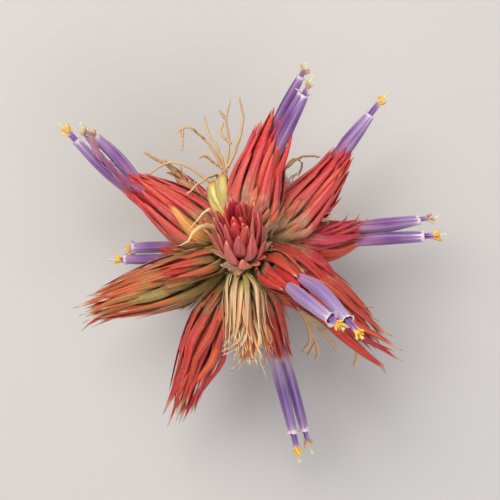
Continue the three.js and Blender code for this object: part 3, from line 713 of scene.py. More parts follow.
def leaf_line(one, i, rings):
    """The middle line of leaf i, the way it faces, its width and how far inside it sits."""
    inward = i / (one["leaves"] - 1)
    start = FIRST_START + START_CLIMB * inward
    reach = one["outer"] + (1 - one["outer"]) * inward ** 0.5 + 0.1 * (draw(i, 2) - 0.5)
    length = min(reach, FURTHEST) - start
    angle = i * GOLDEN_ANGLE + 0.5 * (draw(i, 1) - 0.5)
    foot = 0.8 + 0.2 * one["bulge"] * (1 - inward)
    belly = one["bulge"] * (1 - 0.72 * inward) * (0.92 + 0.16 * draw(i, 3))
    end = bundle_radius(one, start + length) * (1 - (1 - one["keep"]) * inward) * (0.88 + 0.2 * draw(i, 4))
    width = one["width"] * (0.88 + 0.24 * draw(i, 5))
    t = np.linspace(0, 1, rings)
    s = bezier(start, start + 0.12 * length, start + 0.62 * length, start + length, t)
    radius = bezier(foot, 1.5 * belly * one["full"], belly, end, t)
    curled = draw(i, 6) ** 2 * one["curl"] * (1 - 0.7 * inward)
    radius = radius + curled * FLICK * t ** 5
    side, lift = cross_directions(one["along"])
    outward = turned(side, lift, angle)
    sideways = np.cross(one["along"], outward)
    middle = one["base"] + np.outer(s, one["tip"] - one["base"]) + np.outer(4 * s * (1 - s), one["bow"])
    drift = one["sway"] * (draw(i, 7) - 0.5) * DRIFT * t ** 2.5
    points = middle + outward * radius[:, None] + sideways * drift[:, None]
    return kept_clear(points, one, leaf_room(width, t)), outward, width, inward


def old_leaf_line(one, i, rings):
    """The line of one of the short old leaves that clasp the foot of a rosette."""
    t = np.linspace(0, 1, rings)
    reach = 0.26 + 0.26 * draw(i, 52)
    s = OLD_START + reach * t
    radius = bezier(2.0, one["bulge"] * 0.8, one["bulge"], one["bulge"] * (0.96 + 0.26 * draw(i, 53)), t)
    side, lift = cross_directions(one["along"])
    outward = turned(side, lift, i * GOLDEN_ANGLE + OLD_TURN)
    middle = one["base"] + np.outer(s, one["tip"] - one["base"])
    width = one["width"] * (0.8 + 0.3 * draw(i, 54))
    points = middle + outward * radius[:, None]
    return kept_clear(points, one, leaf_room(width, t)), outward, width


first_width = leaf_line(ROSETTES["top"], 0, LEAF_RINGS)[2]
print("the outermost leaf of the top rosette is", round(first_width, 2), "mm wide")

# %% [markdown]
# ## From lines to leaves
# Along each line lies one copy of the blade, a little twisted, with a tone of its own. Some of the outer
# leaves have aged further than their neighbours. The old ones have lost the pale end of their tip, so
# their part of the UV map stops short of it.

# %% Grow a rosette
def grow_rosette(one):
    laid = []
    for i in range(one["leaves"]):
        line, outward, width, inward = leaf_line(one, i, LEAF_RINGS)
        age = 0.35 * max(0.0, draw(i, 10) - 0.6) * (1 - inward)
        laid.append(lay_pattern(BLADE, line, outward, width, twist=(draw(i, 8) - 0.5) * 0.9, tone=draw(i, 9),
                                inner=inward, age=age))
    for i in range(one["old"]):
        line, outward, width = old_leaf_line(one, i, LEAF_RINGS)
        laid.append(lay_pattern(BLADE, line, outward, width, twist=draw(i, 55) - 0.5, tone=draw(i, 56),
                                age=0.2 + 0.5 * draw(i, 57)))
        laid[-1]["chart"][:, 1] *= OLD_TIP_LEFT
    return laid


print("leaves of the back rosette:", len(grow_rosette(ROSETTES["back"])))


# %% [markdown]
# ## Leaves that stand out
# A few leaves can be told apart in the photograph: pale tips that leave a bundle on their own, and
# spikes bent back on the right. Their points are given one by one. After the points come the width, how
# far the sheath's colour has crept up the leaf, and how much of the flush it shows.

# %% Leaves that stand out
PLACED_LEAVES = {
    "lower_right": [
        ([(16.4, 1.5, 5), (20.8, 0.9, 6), (25, -1.3, 5), (28.2, -4.8, 3), (32.1, -9.3, 0)], 6.2, 0.42, 0.2),
        ([(17.6, 0.6, 7), (22.3, -3.8, 8), (27.1, -8.2, 7), (33.5, -14, 4), (38.1, -15.9, 2),
          (43.2, -17.1, 0)], 3.2, 0.1, 0.2),
        ([(29.3, -8.2, 7), (34.7, -12.4, 5), (39.3, -17.2, 3), (42.4, -20.1, 1), (45.3, -22.1, 0)], 2.6,
          0.35, 0.1),
        ([(27.5, -9.1, 9), (33.3, -14.5, 7), (36.6, -17.7, 5), (41.5, -21.3, 3), (44.9, -24.3, 1),
          (49.9, -26.9, -1)], 3.2, 0, 0.6),
        ([(32.5, -18, 8), (36.6, -22.4, 6), (41.4, -24.7, 4), (46.4, -27.7, 2), (50.4, -30.4, 0),
          (53, -31.7, -1)], 2.8, 0, 0.5),
        ([(34.9, -24, 6), (40.8, -27.9, 4), (44.8, -29.6, 2), (50.2, -31.7, 0)], 2.4, 0, 0.8),
        ([(35.1, -24.8, 4), (40.9, -28, 3), (46.6, -31.3, 0), (50, -33.7, -2), (52.9, -35.2, -3)], 2.4, 0,
          0.4),
        ([(27.9, -21.6, 2), (32.4, -26.1, 2), (36.9, -30, 1), (41.8, -34, -1), (45.2, -36, -3),
          (46.3, -37.4, -4), (47.4, -40.1, -6)], 4.2, 0, 0.3),
    ],
    "left": [
        ([(-35.9, -4.8, 6), (-42.3, -7.9, 5), (-47.1, -10.8, 4), (-53.2, -13.1, 3)], 2.6, 0.1, 0.2),
        ([(-31, -5.4, 9), (-37.3, -7.6, 8), (-43.8, -10.4, 6), (-48.6, -12.4, 5), (-51.9, -13, 4)], 2.8,
          0.2, 0.1),
        ([(-34, -9.4, 10), (-40.4, -11.3, 9), (-45.9, -12.9, 7), (-50.4, -14.5, 6), (-57.6, -17.1, 4)], 3.2,
          0.1, 0.5),
        ([(-35.6, -11.9, 10), (-43.5, -14.4, 9), (-50, -17.4, 7), (-55.5, -19.5, 5)], 2.8, 0.35, 0.4),
        ([(-29.3, -12.5, 10), (-37.2, -14.4, 9), (-43.7, -17, 7), (-50.2, -19.9, 5), (-54.5, -22, 3)], 3.4,
          0.5, 0.3),
        ([(-32.7, -16.4, 7), (-39, -17, 7), (-45.4, -19.3, 5), (-50.6, -21.2, 4), (-54.9, -24.9, 2)], 2.8,
          0, 0.8),
        ([(-31.4, -17.8, 3), (-39.3, -18.8, 3), (-45.1, -20.7, 2), (-51.5, -23.5, 1)], 2.4, 0.2, 0.3),
    ],
    "lower_left": [
        ([(-20.9, -28.1, 3), (-21.6, -35.4, 3), (-23.8, -42.3, 3), (-25.8, -47.7, 2), (-27.8, -53, 2)], 2.6,
          0, 0.2),
        ([(-17.8, -26.9, 8), (-19.5, -34.2, 7), (-21.2, -40.1, 6), (-24.4, -45.9, 5), (-27.4, -52.1, 4)],
          3.2, 0.1, 0.1),
        ([(-21.2, -42.4, 7), (-22.7, -46.8, 6), (-23.9, -50.8, 5), (-26.2, -56.6, 3)], 1.8, 0, 0.7),
        ([(-12.2, -26.8, 9), (-16, -31.9, 9), (-17.8, -38.9, 8), (-20, -44.9, 6), (-22, -50.3, 5),
          (-23.2, -54.8, 4)], 2.4, 0, 0.7),
        ([(-11, -34.2, 7), (-15.2, -39.6, 6), (-18.6, -44, 5), (-20.6, -48.7, 4), (-22.1, -55.4, 3)], 2.6,
          0.2, 0.4),
        ([(-14.7, -42.5, 5), (-17.6, -47.5, 4), (-19.6, -52, 3), (-21.1, -55, 2)], 2.4, 0, 0.5),
        ([(-7.5, -34.6, 2), (-12.4, -41.6, 2), (-16.1, -47.3, 1), (-18.3, -52.3, 0)], 2.4, 0, 0.6),
    ],
    "straw": [
        ([(-2.9, -22.6, 26), (-4.7, -25.6, 24), (-6.3, -27.3, 22), (-7.7, -29.1, 20)], 1.6, 0, 0),
        ([(-1.8, -25.4, 26), (-4.3, -27.9, 24), (-8.4, -30.5, 20)], 1.6, 0, 0.1),
        ([(-0.7, -26.5, 26), (-3.4, -29.1, 23), (-8.2, -31.8, 18)], 1.6, 0, 0),
        ([(-1.9, -30.7, 20), (-3.2, -32.4, 18), (-4.8, -33.5, 16)], 1.2, 0, 0),
        ([(0.1, -27.9, 22), (-0.9, -30.9, 20), (-1.9, -33, 18), (-2.8, -35, 16)], 2.4, 0, 1),
        ([(-0.6, -30.4, 18), (-2.1, -33.7, 16), (-3.8, -35.5, 15), (-5.4, -37, 14)], 1.8, 0, 0.1),
        ([(1.3, -29, 20), (0.4, -31.5, 18), (-1.2, -34.5, 16), (-3, -37.4, 14)], 1.8, 0, 0.2),
        ([(4.6, -25.8, 26), (3.1, -30.5, 23), (2.4, -32.9, 20), (0.6, -35.6, 17)], 1.4, 0, 0),
        ([(3.1, -29.7, 20), (2.9, -32.2, 18), (2.6, -36.9, 15)], 1.3, 0, 0.1),
        ([(3.6, -27.7, 20), (4, -30.8, 18), (4.9, -34.4, 16), (5.9, -36.8, 14), (7, -40.2, 11)], 1.5, 0,
          0.2),
        ([(6.8, -27.4, 20), (6.5, -29.9, 18), (6.1, -34.4, 15), (5.4, -37.8, 12)], 1.6, 0, 1),
        ([(8.4, -25.8, 20), (7.6, -28.5, 18), (7, -32.4, 15), (6.8, -35.8, 12)], 1.6, 0, 1),
    ],
    "right": [
        ([(22.1, 8, -2), (29, 10.3, 0), (32.9, 12.3, 1), (34, 14.8, 2)], 2, 0, 0.3),
        ([(24.1, 7, -2), (32, 9.7, 0), (36.3, 12, 1), (37.9, 14.6, 2)], 2, 0, 0.6),
        ([(26.4, 6.3, -2), (34.7, 9, 0), (38.7, 11, 0), (40.8, 13.5, 1)], 2, 0, 0.8),
        ([(22.2, 2.3, -2.4), (26.2, 1, -1.8), (31, 1.5, -1.8), (35, 3.3, -2.6), (38.7, 5.2, -3.4)], 4.8,
          0.1, 0.4),
        ([(20, 0.4, -6), (25, -0.9, -6), (30, -0.2, -6), (35, 2, -7), (38.5, 4, -8)], 4.8, 0.2, 0.3),
        ([(22, 6, 0.6), (27, 5.4, 1.4), (32, 6.2, 0.8), (36.5, 7, -0.6), (40, 7.6, -2.6)], 4.4, 0.1, 0.3),
    ],
    "upper_right": [
        ([(19.6, 14.9, 3), (26.2, 17.9, 3), (30.3, 21.6, 1), (33.5, 25.6, -2)], 2.6, 0, 0.4),
        ([(17.9, 11.6, 2), (25.2, 14, 2), (29.3, 17, 0), (32.3, 20.4, -2)], 2.4, 0.2, 0.3),
    ],
    "top": [
        ([(0, 28.4, 12), (0.7, 34.9, 12), (2, 39.2, 11), (3.5, 42.9, 9)], 3, 0, 0.5),
        ([(5.2, 34.5, 17), (6.8, 40.4, 16), (8.1, 44.8, 14), (9.3, 49.2, 12)], 3.2, 0, 0.9),
        ([(11.3, 28.7, 17), (13.2, 33.8, 18), (14.3, 37.4, 18), (15.2, 40.7, 17)], 2.6, 0, 0.7),
    ],
    "front": [
        ([(-3.2, 1.7, 12), (-7, 6.8, 20), (-10, 11.2, 26), (-11.2, 17.1, 30)], 3.4, 0, 1),
        ([(-1.9, 2.3, 14), (-5, 8.7, 24), (-6.2, 14.2, 31), (-6.4, 19.1, 35)], 3.4, 0, 0.5),
        ([(2.3, 2.3, 14), (3.9, 6.8, 23), (4.2, 11.1, 30), (3.5, 14.4, 34)], 3.4, 0, 0.6),
    ],
}


print("leaves placed by hand:", sum(len(leaves) for leaves in PLACED_LEAVES.values()))

# %% [markdown]
# ## Joining each rosette
# A listed leaf shows only its outer part in the photograph. So its line is led back into the
# bundle, no cut end shows, and it faces away from the bundle's middle line as its neighbours do. Then
# all the leaves of a rosette are joined in one piece, which replaces the rosette's solid.

# %% Join each rosette
HIDDEN_SHARE = 0.28
HIDDEN_DEPTH = 0.45
TIP_PART = 0.6


def lay_placed(one, k, path, width, age, inner):
    """A listed leaf, led back into its bundle so that no cut end shows."""
    first = np.array(path[0], float)
    stem = one["tip"] - one["base"]
    s = (first - one["base"]) @ stem / (stem @ stem)
    across = first - one["base"] - s * stem
    hidden = one["base"] + (s - HIDDEN_SHARE) * stem + HIDDEN_DEPTH * across
    line = smooth_line([hidden, *path], LEAF_RINGS)
    facing = unit(unit(across) + np.array([0, 0, 0.8]))
    laid = lay_pattern(BLADE, line, facing, width, twist=0.6 * (draw(k, 58) - 0.5), tone=draw(k, 59),
                       inner=inner, age=age)
    laid["chart"][:, 1] = 1 - TIP_PART + TIP_PART * laid["chart"][:, 1]
    return laid


SHARED_SLOTS = {"rose": "leaf_red", "flame": "leaf_red"}
leaf_count = 0
for name, one in ROSETTES.items():
    laid = grow_rosette(one)
    laid += [lay_placed(one, k, *leaf) for k, leaf in enumerate(PLACED_LEAVES.get(name, ()))]
    leaf_count += len(laid)
    slot = SHARED_SLOTS.get(one["finish"], f"leaf_{one['finish']}")
    add_piece(f"leaves_{name}", laid, LEAF_MATERIALS[one["finish"]], slot, f"rosette_{name}")
print("leaves:", leaf_count)

# %% [markdown]
# ## One petal
# A flower is three long petals rolled into a tube, each with one edge over its neighbour, and only their
# pale tips bend outwards. A petal starts as a flat grid. Its last rows are drawn in to a rounded tip,
# and Solidify makes it a real sheet with two faces and a rim, because the tips are seen from both sides.

# %% Model the petal
PETAL_ROWS = 24
PETAL_COLUMNS = 8
TUBE_SHARE = 0.7
TIP_WIDTHS = {24: 0.22, 23: 0.46, 22: 0.64, 21: 0.77, 20: 0.86, 19: 0.93, 18: 0.98}


def model_petal():
    deselect_all()
    bpy.ops.mesh.primitive_grid_add(x_subdivisions=PETAL_COLUMNS, y_subdivisions=PETAL_ROWS, size=1,
                                    location=(0, 0, 0.5), rotation=(math.pi / 2, 0, 0))
    petal = bpy.context.object
    bpy.ops.object.transform_apply(location=True, rotation=True)
    bpy.ops.object.mode_set(mode="EDIT")
    for row, width in TIP_WIDTHS.items():
        height = row / PETAL_ROWS
        pick_vertices(petal, lambda co: abs(co.z - height) < 0.01)
        bpy.ops.transform.resize(value=(width, 1, 1), center_override=(0, 0, height))
    bpy.ops.object.mode_set(mode="OBJECT")
    sheet = petal.modifiers.new("sheet", "SOLIDIFY")
    sheet.thickness = 0.01
    sheet.offset = 0
    bpy.ops.object.modifier_apply(modifier="sheet")
    return petal


PETAL_PLACES, PETAL_FACES = take_shape(model_petal())
# The sheet is a hundredth thick, so from here its two faces lie at plus and minus a half.
PETAL_PLACES[:, 1] *= 100
print("petal:", len(PETAL_PLACES), "corners")

# %% [markdown]
# ## The skin of a petal
# The tube is pinkish where it leaves the leaves, dark violet along its length and almost white at the
# rim. Fine veins run the whole way, with a painted highlight on them and painted shade between, and pale
# streaks of painted highlight run along the tube. The group reads V for the way along and U for the veins.
# The front flowers are paler than the rest, the top ones and one at the right have a darker copy of violet
# as painted shade, the bottom ones have a paler, greyer start as a painted highlight, and one has withered,
# so there are five finishes.

# %% Petal skin group
PETAL_INPUTS = {"Base": rgb(170, 108, 150), "Tube": rgb(130, 84, 152), "Throat": rgb(164, 128, 180),
                "Rim": rgb(238, 220, 230)}
# The colour of the painted highlight streaks along the tube
STREAK_HIGHLIGHT = rgb(186, 168, 200)


def make_petal_skin():
    group, given = new_skin("petal_skin", PETAL_INPUTS)
    tone = surface_value(group, "tone")
    uv, place = surface_maps(group)
    along = Value(add_node(group, "ShaderNodeSeparateXYZ", {"Vector": uv}).outputs["Y"])
    offset = add_node(group, "ShaderNodeCombineXYZ", {"Z": tone * 41.0}).outputs[0]
    vein_at = stretched(uv, (26.0, 1.6, 1.0), offset)
    vein = noise(vein_at, 1.0, 2.0)
    broad = noise(stretched(vein_at, (0.3, 0.8, 1.0), (0.0, 0.0, 0.0)), 1.0, 1.0)
    cloud = noise(place, 260.0, 3.0)
    reach = along + (cloud - 0.5) * 0.16
    colour = mix_colour(ramp_between(reach, 0.14, 0.46), given["Base"], given["Tube"])
    colour = mix_colour(ramp_between(reach, 0.45, 0.70), colour, given["Throat"])
    # The veins are the petal's own, and the lighter ridges and darker grooves between them are painted
    # highlight and shade
    colour = shade_colour(colour, vein * 0.56 + 0.72)
    # Pale streaks of painted highlight along the tube
    colour = mix_colour(ramp_between(broad, 0.46, 0.66) * 0.45, colour, STREAK_HIGHLIGHT)
    frayed = along + (broad - 0.5) * 0.3
    colour = mix_colour(ramp_between(frayed, 0.66, 0.80), colour, given["Rim"])
    return hand_out(group, colour, cloud * 0.18 + 0.38, vein)


PETAL_SKIN = make_petal_skin()
PETAL_FINISHES = {
    "violet": (),
    "lilac": ((172, 136, 182), (148, 120, 176), (172, 148, 196)),
    # This finish has a paler, greyer start: a painted highlight where light falls on the bottom tubes from
    # above
    "lit_grey_start": ((186, 162, 186), (120, 80, 150), (142, 108, 164)),
    # This darker finish is violet made darker: painted shade for the tubes that lie in shadow
    "shaded_violet": ((160, 100, 146), (112, 68, 134), (142, 104, 164)),
    "faded": ((154, 72, 104), (144, 84, 126), (170, 112, 134), (204, 164, 148)),
}
PETAL_MATERIALS = {
    name: skin_material(f"petal_{name}", PETAL_SKIN, finish, sheen=0.25, subsurface=0.08)
    for name, finish in PETAL_FINISHES.items()
}
print("petal materials:", ", ".join(PETAL_MATERIALS))

# %% [markdown]
# ## The fourteen flowers
# A row gives three points of a flower's middle line, its radii at the seat, the belly and the mouth, the
# radius of its rim, how far its stamens and its style stand out, its finish, and whether it is spent. The
# two front tubes start far down in their leaves, so that their round seats don't show from the side.

# %% Flower table
def flower(seat, middle, mouth, radii, flare, stamens, style, finish="violet", spent=False):
    return dict(path=[seat, middle, mouth], radii=radii, flare=flare, stamens=stamens, style=style,
                finish=finish, spent=spent)


FLOWERS = {
    "top_1": flower((7.2, 33.9, 10.6), (11.2, 45.4, 13.4), (17.7, 58.2, 16), (1.5, 1.85, 1.2),
                    1.7, 3.8, 4.6, "shaded_violet", spent=True),
    "top_2": flower((8.2, 31, 12.6), (12.9, 41.4, 17.6), (18.4, 52.2, 21), (1.8, 2.5, 1.8),
                    2.2, 4.8, 6.4, "shaded_violet", spent=True),
    "upper_right_1": flower((27, 28, 0.6), (33.4, 37, 2.4), (41.1, 47.2, 4), (1.9, 2.7, 1.4),
                            2, 7, 8.8),
    "right_1": flower((31.3, 9, -8.4), (45.2, 10.5, -9.8), (58.8, 12.6, -9.6), (1.9, 2.6, 1.5),
                      1.9, 4.9, 6.4, spent=True),
    "right_2": flower((31.6, 4.8, -6.4), (45.2, 6.1, -6.2), (59.8, 7, -6), (1.6, 2.1, 1.7),
                      2.2, 6.2, 7.4, "shaded_violet"),
    "front_1": flower((12.7, -4.6, 17.0), (22.8, -9.8, 34), (31, -19.1, 47), (1.0, 2.1, 1.6),
                      2.2, 8, 8.8, "lilac"),
    "front_2": flower((11.2, -6.9, 17.4), (17.2, -12, 34), (26, -18.6, 46), (1.0, 2.1, 1.6),
                      2.2, 5.6, 6.4, "lilac"),
    "bottom_1": flower((7, -25, -9.4), (11.7, -43, -11.4), (16, -59.9, -13), (1.5, 1.9, 1.4),
                       2.2, 8.4, 10.6, "lit_grey_start"),
    "bottom_2": flower((9.8, -24.4, -12.6), (15.8, -44.2, -15.4), (20.1, -59.7, -17.4), (1.5, 1.8, 1.4),
                       1.9, 6.2, 8.4, "lit_grey_start", spent=True),
    "back_left_1": flower((-21.5, 3.6, -16.6), (-30.9, 3.4, -22.2), (-39.6, 2.9, -25.6), (1.5, 1.95, 1.7),
                          2.2, 2.6, 3.4),
    "back_left_2": flower((-21.5, -1.2, -16.6), (-31.9, -0.8, -22.6), (-42.4, -1, -27.4), (1.5, 1.75, 1.5),
                          2, 4.4, 6),
    "upper_left_1": flower((-33, 21.6, 5.4), (-42.6, 33.2, 7.2), (-49.2, 39.4, 9), (1.6, 2.1, 1.5),
                           2, 2.8, 3.4, spent=True),
    "upper_left_2": flower((-34.2, 18.2, 1.4), (-46.6, 28.6, 2.4), (-56, 38.4, 3.4), (1.4, 1.65, 1.3),
                           1.8, 6.4, 7.8),
    "upper_left_3": flower((-33, 20, 9.4), (-46.4, 31.6, 12), (-51.8, 39.5, 12.8), (0.9, 1.1, 0.85),
                           1.3, 3, 4, "faded", spent=True),
}
print("flowers:", len(FLOWERS))

# %% [markdown]
# ## Rolling the petals
# Each petal of the flat pattern is rolled round the flower's curved middle line: U becomes an angle and
# V a place along the tube. One edge lies a little further out than the other, so three of them overlap
# like a rolled paper. Past the mouth the radius grows and the petal turns back.

# %% Roll the petals
LINE_STEPS = 40
PETALS = 3
PETAL_SPAN = 2.75
PETAL_WRAP = 0.34
PETAL_THICKNESS = 0.13
TUBE_TWIST = 0.5
RIM_LENGTH = 2.3
RIM_FLARE = 0.3
RIM_SETBACK = 1.1
CRUMPLE = {"faded": 0.28}


def roll_petal(bloom, index, k):
    line = smooth_line(bloom["path"], LINE_STEPS)
    heading = unit(np.gradient(line, axis=0))
    x, y, z = PETAL_PLACES.T
    length = np.linalg.norm(np.diff(line, axis=0), axis=1).sum()
    t = np.clip(z / TUBE_SHARE, 0, 1) * (1 - RIM_SETBACK / length)
    past = np.clip((z - TUBE_SHARE) / (1 - TUBE_SHARE), 0, 1)
    steps = np.linspace(0, 1, LINE_STEPS)
    middle = np.stack([np.interp(t, steps, line[:, axis]) for axis in range(3)], axis=1)
    along = unit(np.stack([np.interp(t, steps, heading[:, axis]) for axis in range(3)], axis=1))
    side = unit(np.cross([0, 0, 1.0], along))
    lift = np.cross(along, side)

    # The tube swells to its belly, and past the mouth the rim opens
    seat, belly, mouth = bloom["radii"]
    radii = [seat, (seat + belly) / 2 * 1.03, belly, (belly + mouth) / 2 * 1.03, mouth]
    radius = np.interp(t, [0, 0.28, 0.5, 0.78, 1], radii)
    reach = bloom["flare"] - mouth + RIM_FLARE + 1.1 * (draw(index, k + 20) - 0.4)
    radius = radius + reach * past ** 2.2 + 0.14 * np.sin(x * 9 + index + k) * past
    forward = RIM_LENGTH * (past - 0.45 * past ** 3) * (0.7 + 0.5 * draw(index, k + 30))
    angle = k * 2 * math.pi / PETALS + draw(index, 12) * 6 + x * PETAL_SPAN + TUBE_TWIST * t
    radius = radius + PETAL_WRAP * (x - 0.1) + y * PETAL_THICKNESS

    # A withered tube is crumpled and no longer straight
    crumple = CRUMPLE.get(bloom["finish"], 0.0)
    radius = radius * (1 + crumple * (np.sin(x * 11 + z * 17 + k) + np.sin(z * 43 + 2 * k)))
    middle = middle + crumple * 1.6 * np.stack([np.sin(t * 9), np.sin(t * 13 + 1), np.cos(t * 8)], axis=1)
    out = side * np.cos(angle)[:, None] + lift * np.sin(angle)[:, None]
    corners = middle + along * forward[:, None] + out * radius[:, None]
    chart = np.stack([x + 0.5, z], axis=1)
    return {"corners": corners, "faces": PETAL_FACES, "chart": chart, "tone": draw(index, k + 40)}


for index, (name, bloom) in enumerate(FLOWERS.items()):
    petals = [roll_petal(bloom, index, k) for k in range(PETALS)]
    add_piece(f"petals_{name}", petals, PETAL_MATERIALS[bloom["finish"]], "petal", f"flower_{name}")
print("petals:", PETALS * len(FLOWERS))

# %% [markdown]
# ## Strand and anther patterns
# A strand is a six-sided cylinder cut into rings and closed to a point at the far end: filaments, the
# style and the roots are all laid from it. An anther is a small ball drawn long and pinched in the
# middle, with the seam where its two halves open.

# %% Model the strand and the anther
STRAND_RINGS = 26


def model_strand():
    deselect_all()
    bpy.ops.mesh.primitive_cylinder_add(vertices=6, radius=0.5, depth=1, location=(0, 0, 0.5))
    strand = bpy.context.object
    bpy.ops.object.transform_apply(location=True)
    bpy.ops.object.mode_set(mode="EDIT")
    pick_edges(strand, lambda a, b: abs(a.z - b.z) > 0.5)
    bpy.ops.mesh.subdivide(number_cuts=STRAND_RINGS - 2)
    bpy.context.tool_settings.mesh_select_mode = (True, False, False)
    pick_vertices(strand, lambda co: co.z > 0.999)
    bpy.ops.mesh.merge(type="CENTER")
    bpy.ops.object.mode_set(mode="OBJECT")
    return strand


def model_anther():
    deselect_all()
    bpy.ops.mesh.primitive_ico_sphere_add(subdivisions=2, radius=0.5, location=(0, 0, 0.5))
    anther = bpy.context.object
    bpy.ops.object.transform_apply(location=True)
    bpy.ops.object.mode_set(mode="EDIT")
    pick_vertices(anther, lambda co: abs(co.z - 0.5) < 0.12)
    bpy.ops.transform.resize(value=(0.86, 0.86, 1), center_override=(0, 0, 0.5))
    pick_vertices(anther, lambda co: co.y > 0.3)
    bpy.ops.transform.translate(value=(0, -0.16, 0))
    bpy.ops.object.mode_set(mode="OBJECT")
    return anther


STRAND = take_shape(model_strand())
ANTHER = take_shape(model_anther())
print("strand:", len(STRAND[0]), "corners; anther:", len(ANTHER[0]), "corners")


def lay_blob(blob, start, end, width, outward, tone, inner, bend=0.0):
    """A rounded pattern between two places, bowed outward by bend in its middle."""
    places, faces = blob
    along = unit(end - start)
    across = unit(np.cross(along, outward))
    under = np.cross(across, along)
    x, y, z = places[:, 0:1], places[:, 1:2], places[:, 2:3]
    corners = start + z * (end - start) + x * across * width + y * under * width
    corners = corners + bend * 4 * z * (1 - z) * outward
    chart = np.stack([places[:, 0] + 0.5, places[:, 2]], axis=1)
    return {"corners": corners, "faces": faces, "chart": chart, "tone": tone, "inner": inner}


# %% [markdown]
# ## Pollen, filament and style in one finish
# The stamens of a flower are one piece of several colours. The attribute inner says which part a corner
# belongs to: 0 is a filament, a half is the style, 0.85 is a withered anther, and 1 is an anther covered
# in pollen. Three mixes turn that into violet, cream, brown and gold, and fine noise grains the pollen.

# %% Stamen finish
def make_stamen_material():
    material = bpy.data.materials.new("stamen")
    material.use_nodes = True
    tree = material.node_tree
    part, tone = surface_value(tree, "inner"), surface_value(tree, "tone")
    uv, place = surface_maps(tree)
    along = Value(add_node(tree, "ShaderNodeSeparateXYZ", {"Vector": uv}).outputs["Y"])
    grain = noise(place, 5200.0, 2.0)
    filament = mix_colour(ramp_between(along, 0.55, 1.0), rgb(138, 102, 172), rgb(204, 172, 196))
    style = mix_colour(ramp_between(along, 0.4, 0.9), rgb(206, 176, 206), rgb(244, 230, 176))
    gold = mix_colour(tone, rgb(222, 146, 30), rgb(252, 200, 44))
    dusted = mix_colour(ramp_between(grain, 0.45, 0.68), gold, rgb(255, 230, 110))
    withered = mix_colour(tone, rgb(186, 138, 92), rgb(232, 200, 142))
    anther = mix_colour(ramp_between(part, 0.9, 0.96), withered, dusted)
    colour = mix_colour(ramp_between(part, 0.2, 0.3), filament, style)
    colour = mix_colour(ramp_between(part, 0.7, 0.8), colour, anther)
    relief = add_node(tree, "ShaderNodeBump", {"Strength": 0.5, "Distance": 0.0001, "Height": grain})
    fill_inputs(tree.nodes["Principled BSDF"], {
        "Base Color": colour, "Normal": relief.outputs["Normal"], "Roughness": 0.62,
        "Subsurface Weight": 0.1, "Subsurface Radius": (0.0008, 0.0006, 0.0004)})
    return material


STAMEN = make_stamen_material()
print("stamen finish nodes:", len(STAMEN.node_tree.nodes))

# %% [markdown]
# ## Stamens and style
# Six filaments leave the tube as one violet bundle and end in long golden anthers that tip over on
# their stalks. The style runs through the middle of them and carries a pale stigma of three lobes. In a
# spent flower the stalks are thinner and the anthers smaller, brown and more at odds with each other.

# %% Stamens
FILAMENTS = 6
LOBES = 3
ANTHER_LENGTH = 3.3
START_DEPTH = 2.6
FILAMENT_PART, STYLE_PART, SPENT_PART, ANTHER_PART = 0.0, 0.5, 0.85, 1.0
FRESH = {"part": ANTHER_PART, "stalk": 0.72, "girth": 1.1, "size": 1.0, "wild": 1.0}
SPENT = {"part": SPENT_PART, "stalk": 0.5, "girth": 0.8, "size": 0.8, "wild": 1.5}


def grow_stamens(bloom, index):
    line = smooth_line(bloom["path"], LINE_STEPS)
    mouth, onward = line[-1], unit(line[-1] - line[-3])
    side, lift = cross_directions(onward)
    state = SPENT if bloom["spent"] else FRESH
    wild = state["wild"]
    laid = []
    for k in range(FILAMENTS):
        angle = k * 2 * math.pi / FILAMENTS + draw(index, k)
        out, over = turned(side, lift, angle), turned(side, lift, angle + 1.3)
        reach = bloom["stamens"] - ANTHER_LENGTH * 0.5 + 1.2 * wild * (draw(index, k + 9) - 0.5)
        ends = [mouth - onward * START_DEPTH + out * 0.7, mouth + onward * 0.6 * reach + out * 0.66,
                mouth + onward * reach + out * (0.6 + 0.5 * wild * draw(index, k + 15))]
        laid.append(lay_pattern(STRAND, smooth_line(ends, STRAND_RINGS), out, state["stalk"],
                                tone=draw(index, k + 3), inner=FILAMENT_PART))
        aside = out * (0.1 + 0.7 * draw(index, k + 21)) + over * (draw(index, k + 27) - 0.5) * 1.2
        lean = unit(onward + wild * aside)
        half = lean * ANTHER_LENGTH * (0.42 + 0.16 * draw(index, k + 33)) * state["size"]
        laid.append(lay_blob(ANTHER, ends[2] - half, ends[2] + half, state["girth"], out,
                             draw(index, k + 39), state["part"], bend=1.2 * (draw(index, k + 45) - 0.3)))
    bend = (side * (draw(index, 50) - 0.5) + lift * (draw(index, 51) - 0.5)) * 1.1
    tip = mouth + onward * bloom["style"] + bend
    ends = [mouth - onward * START_DEPTH, mouth + onward * bloom["style"] * 0.55 + bend * 0.2, tip]
    width = np.linspace(0.42, 0.34, STRAND_RINGS)
    laid.append(lay_pattern(STRAND, smooth_line(ends, STRAND_RINGS), side, width, inner=STYLE_PART))
    for k in range(LOBES):
        out = turned(side, lift, k * 2 * math.pi / LOBES + index)
        start = tip - onward * 0.5
        end = start + onward * 0.9 + out * 0.45
        lobe = lay_blob(ANTHER, start, end, 0.6, out, 0.9, STYLE_PART, bend=0.1)
        lobe["chart"][:, 1] = 1.0
        laid.append(lobe)
    return laid


for index, (name, bloom) in enumerate(FLOWERS.items()):
    add_piece(f"anthers_{name}", grow_stamens(bloom, index), STAMEN, "pollen", f"stamens_{name}")
print("spent flowers:", sum(bloom["spent"] for bloom in FLOWERS.values()))

# %% [markdown]
# ## Dry fibre
# Roots, old stems and withered leaves share one look: pale straw with darker lengths, fine grain along
# the fibre and no shine. The group takes two colours and how often they change.

# %% Fibre group
FIBRE_INPUTS = {"Pale": rgb(222, 192, 146), "Dark": rgb(146, 100, 60), "Dark Share": 0.4,
                "Patch Scale": 160.0}


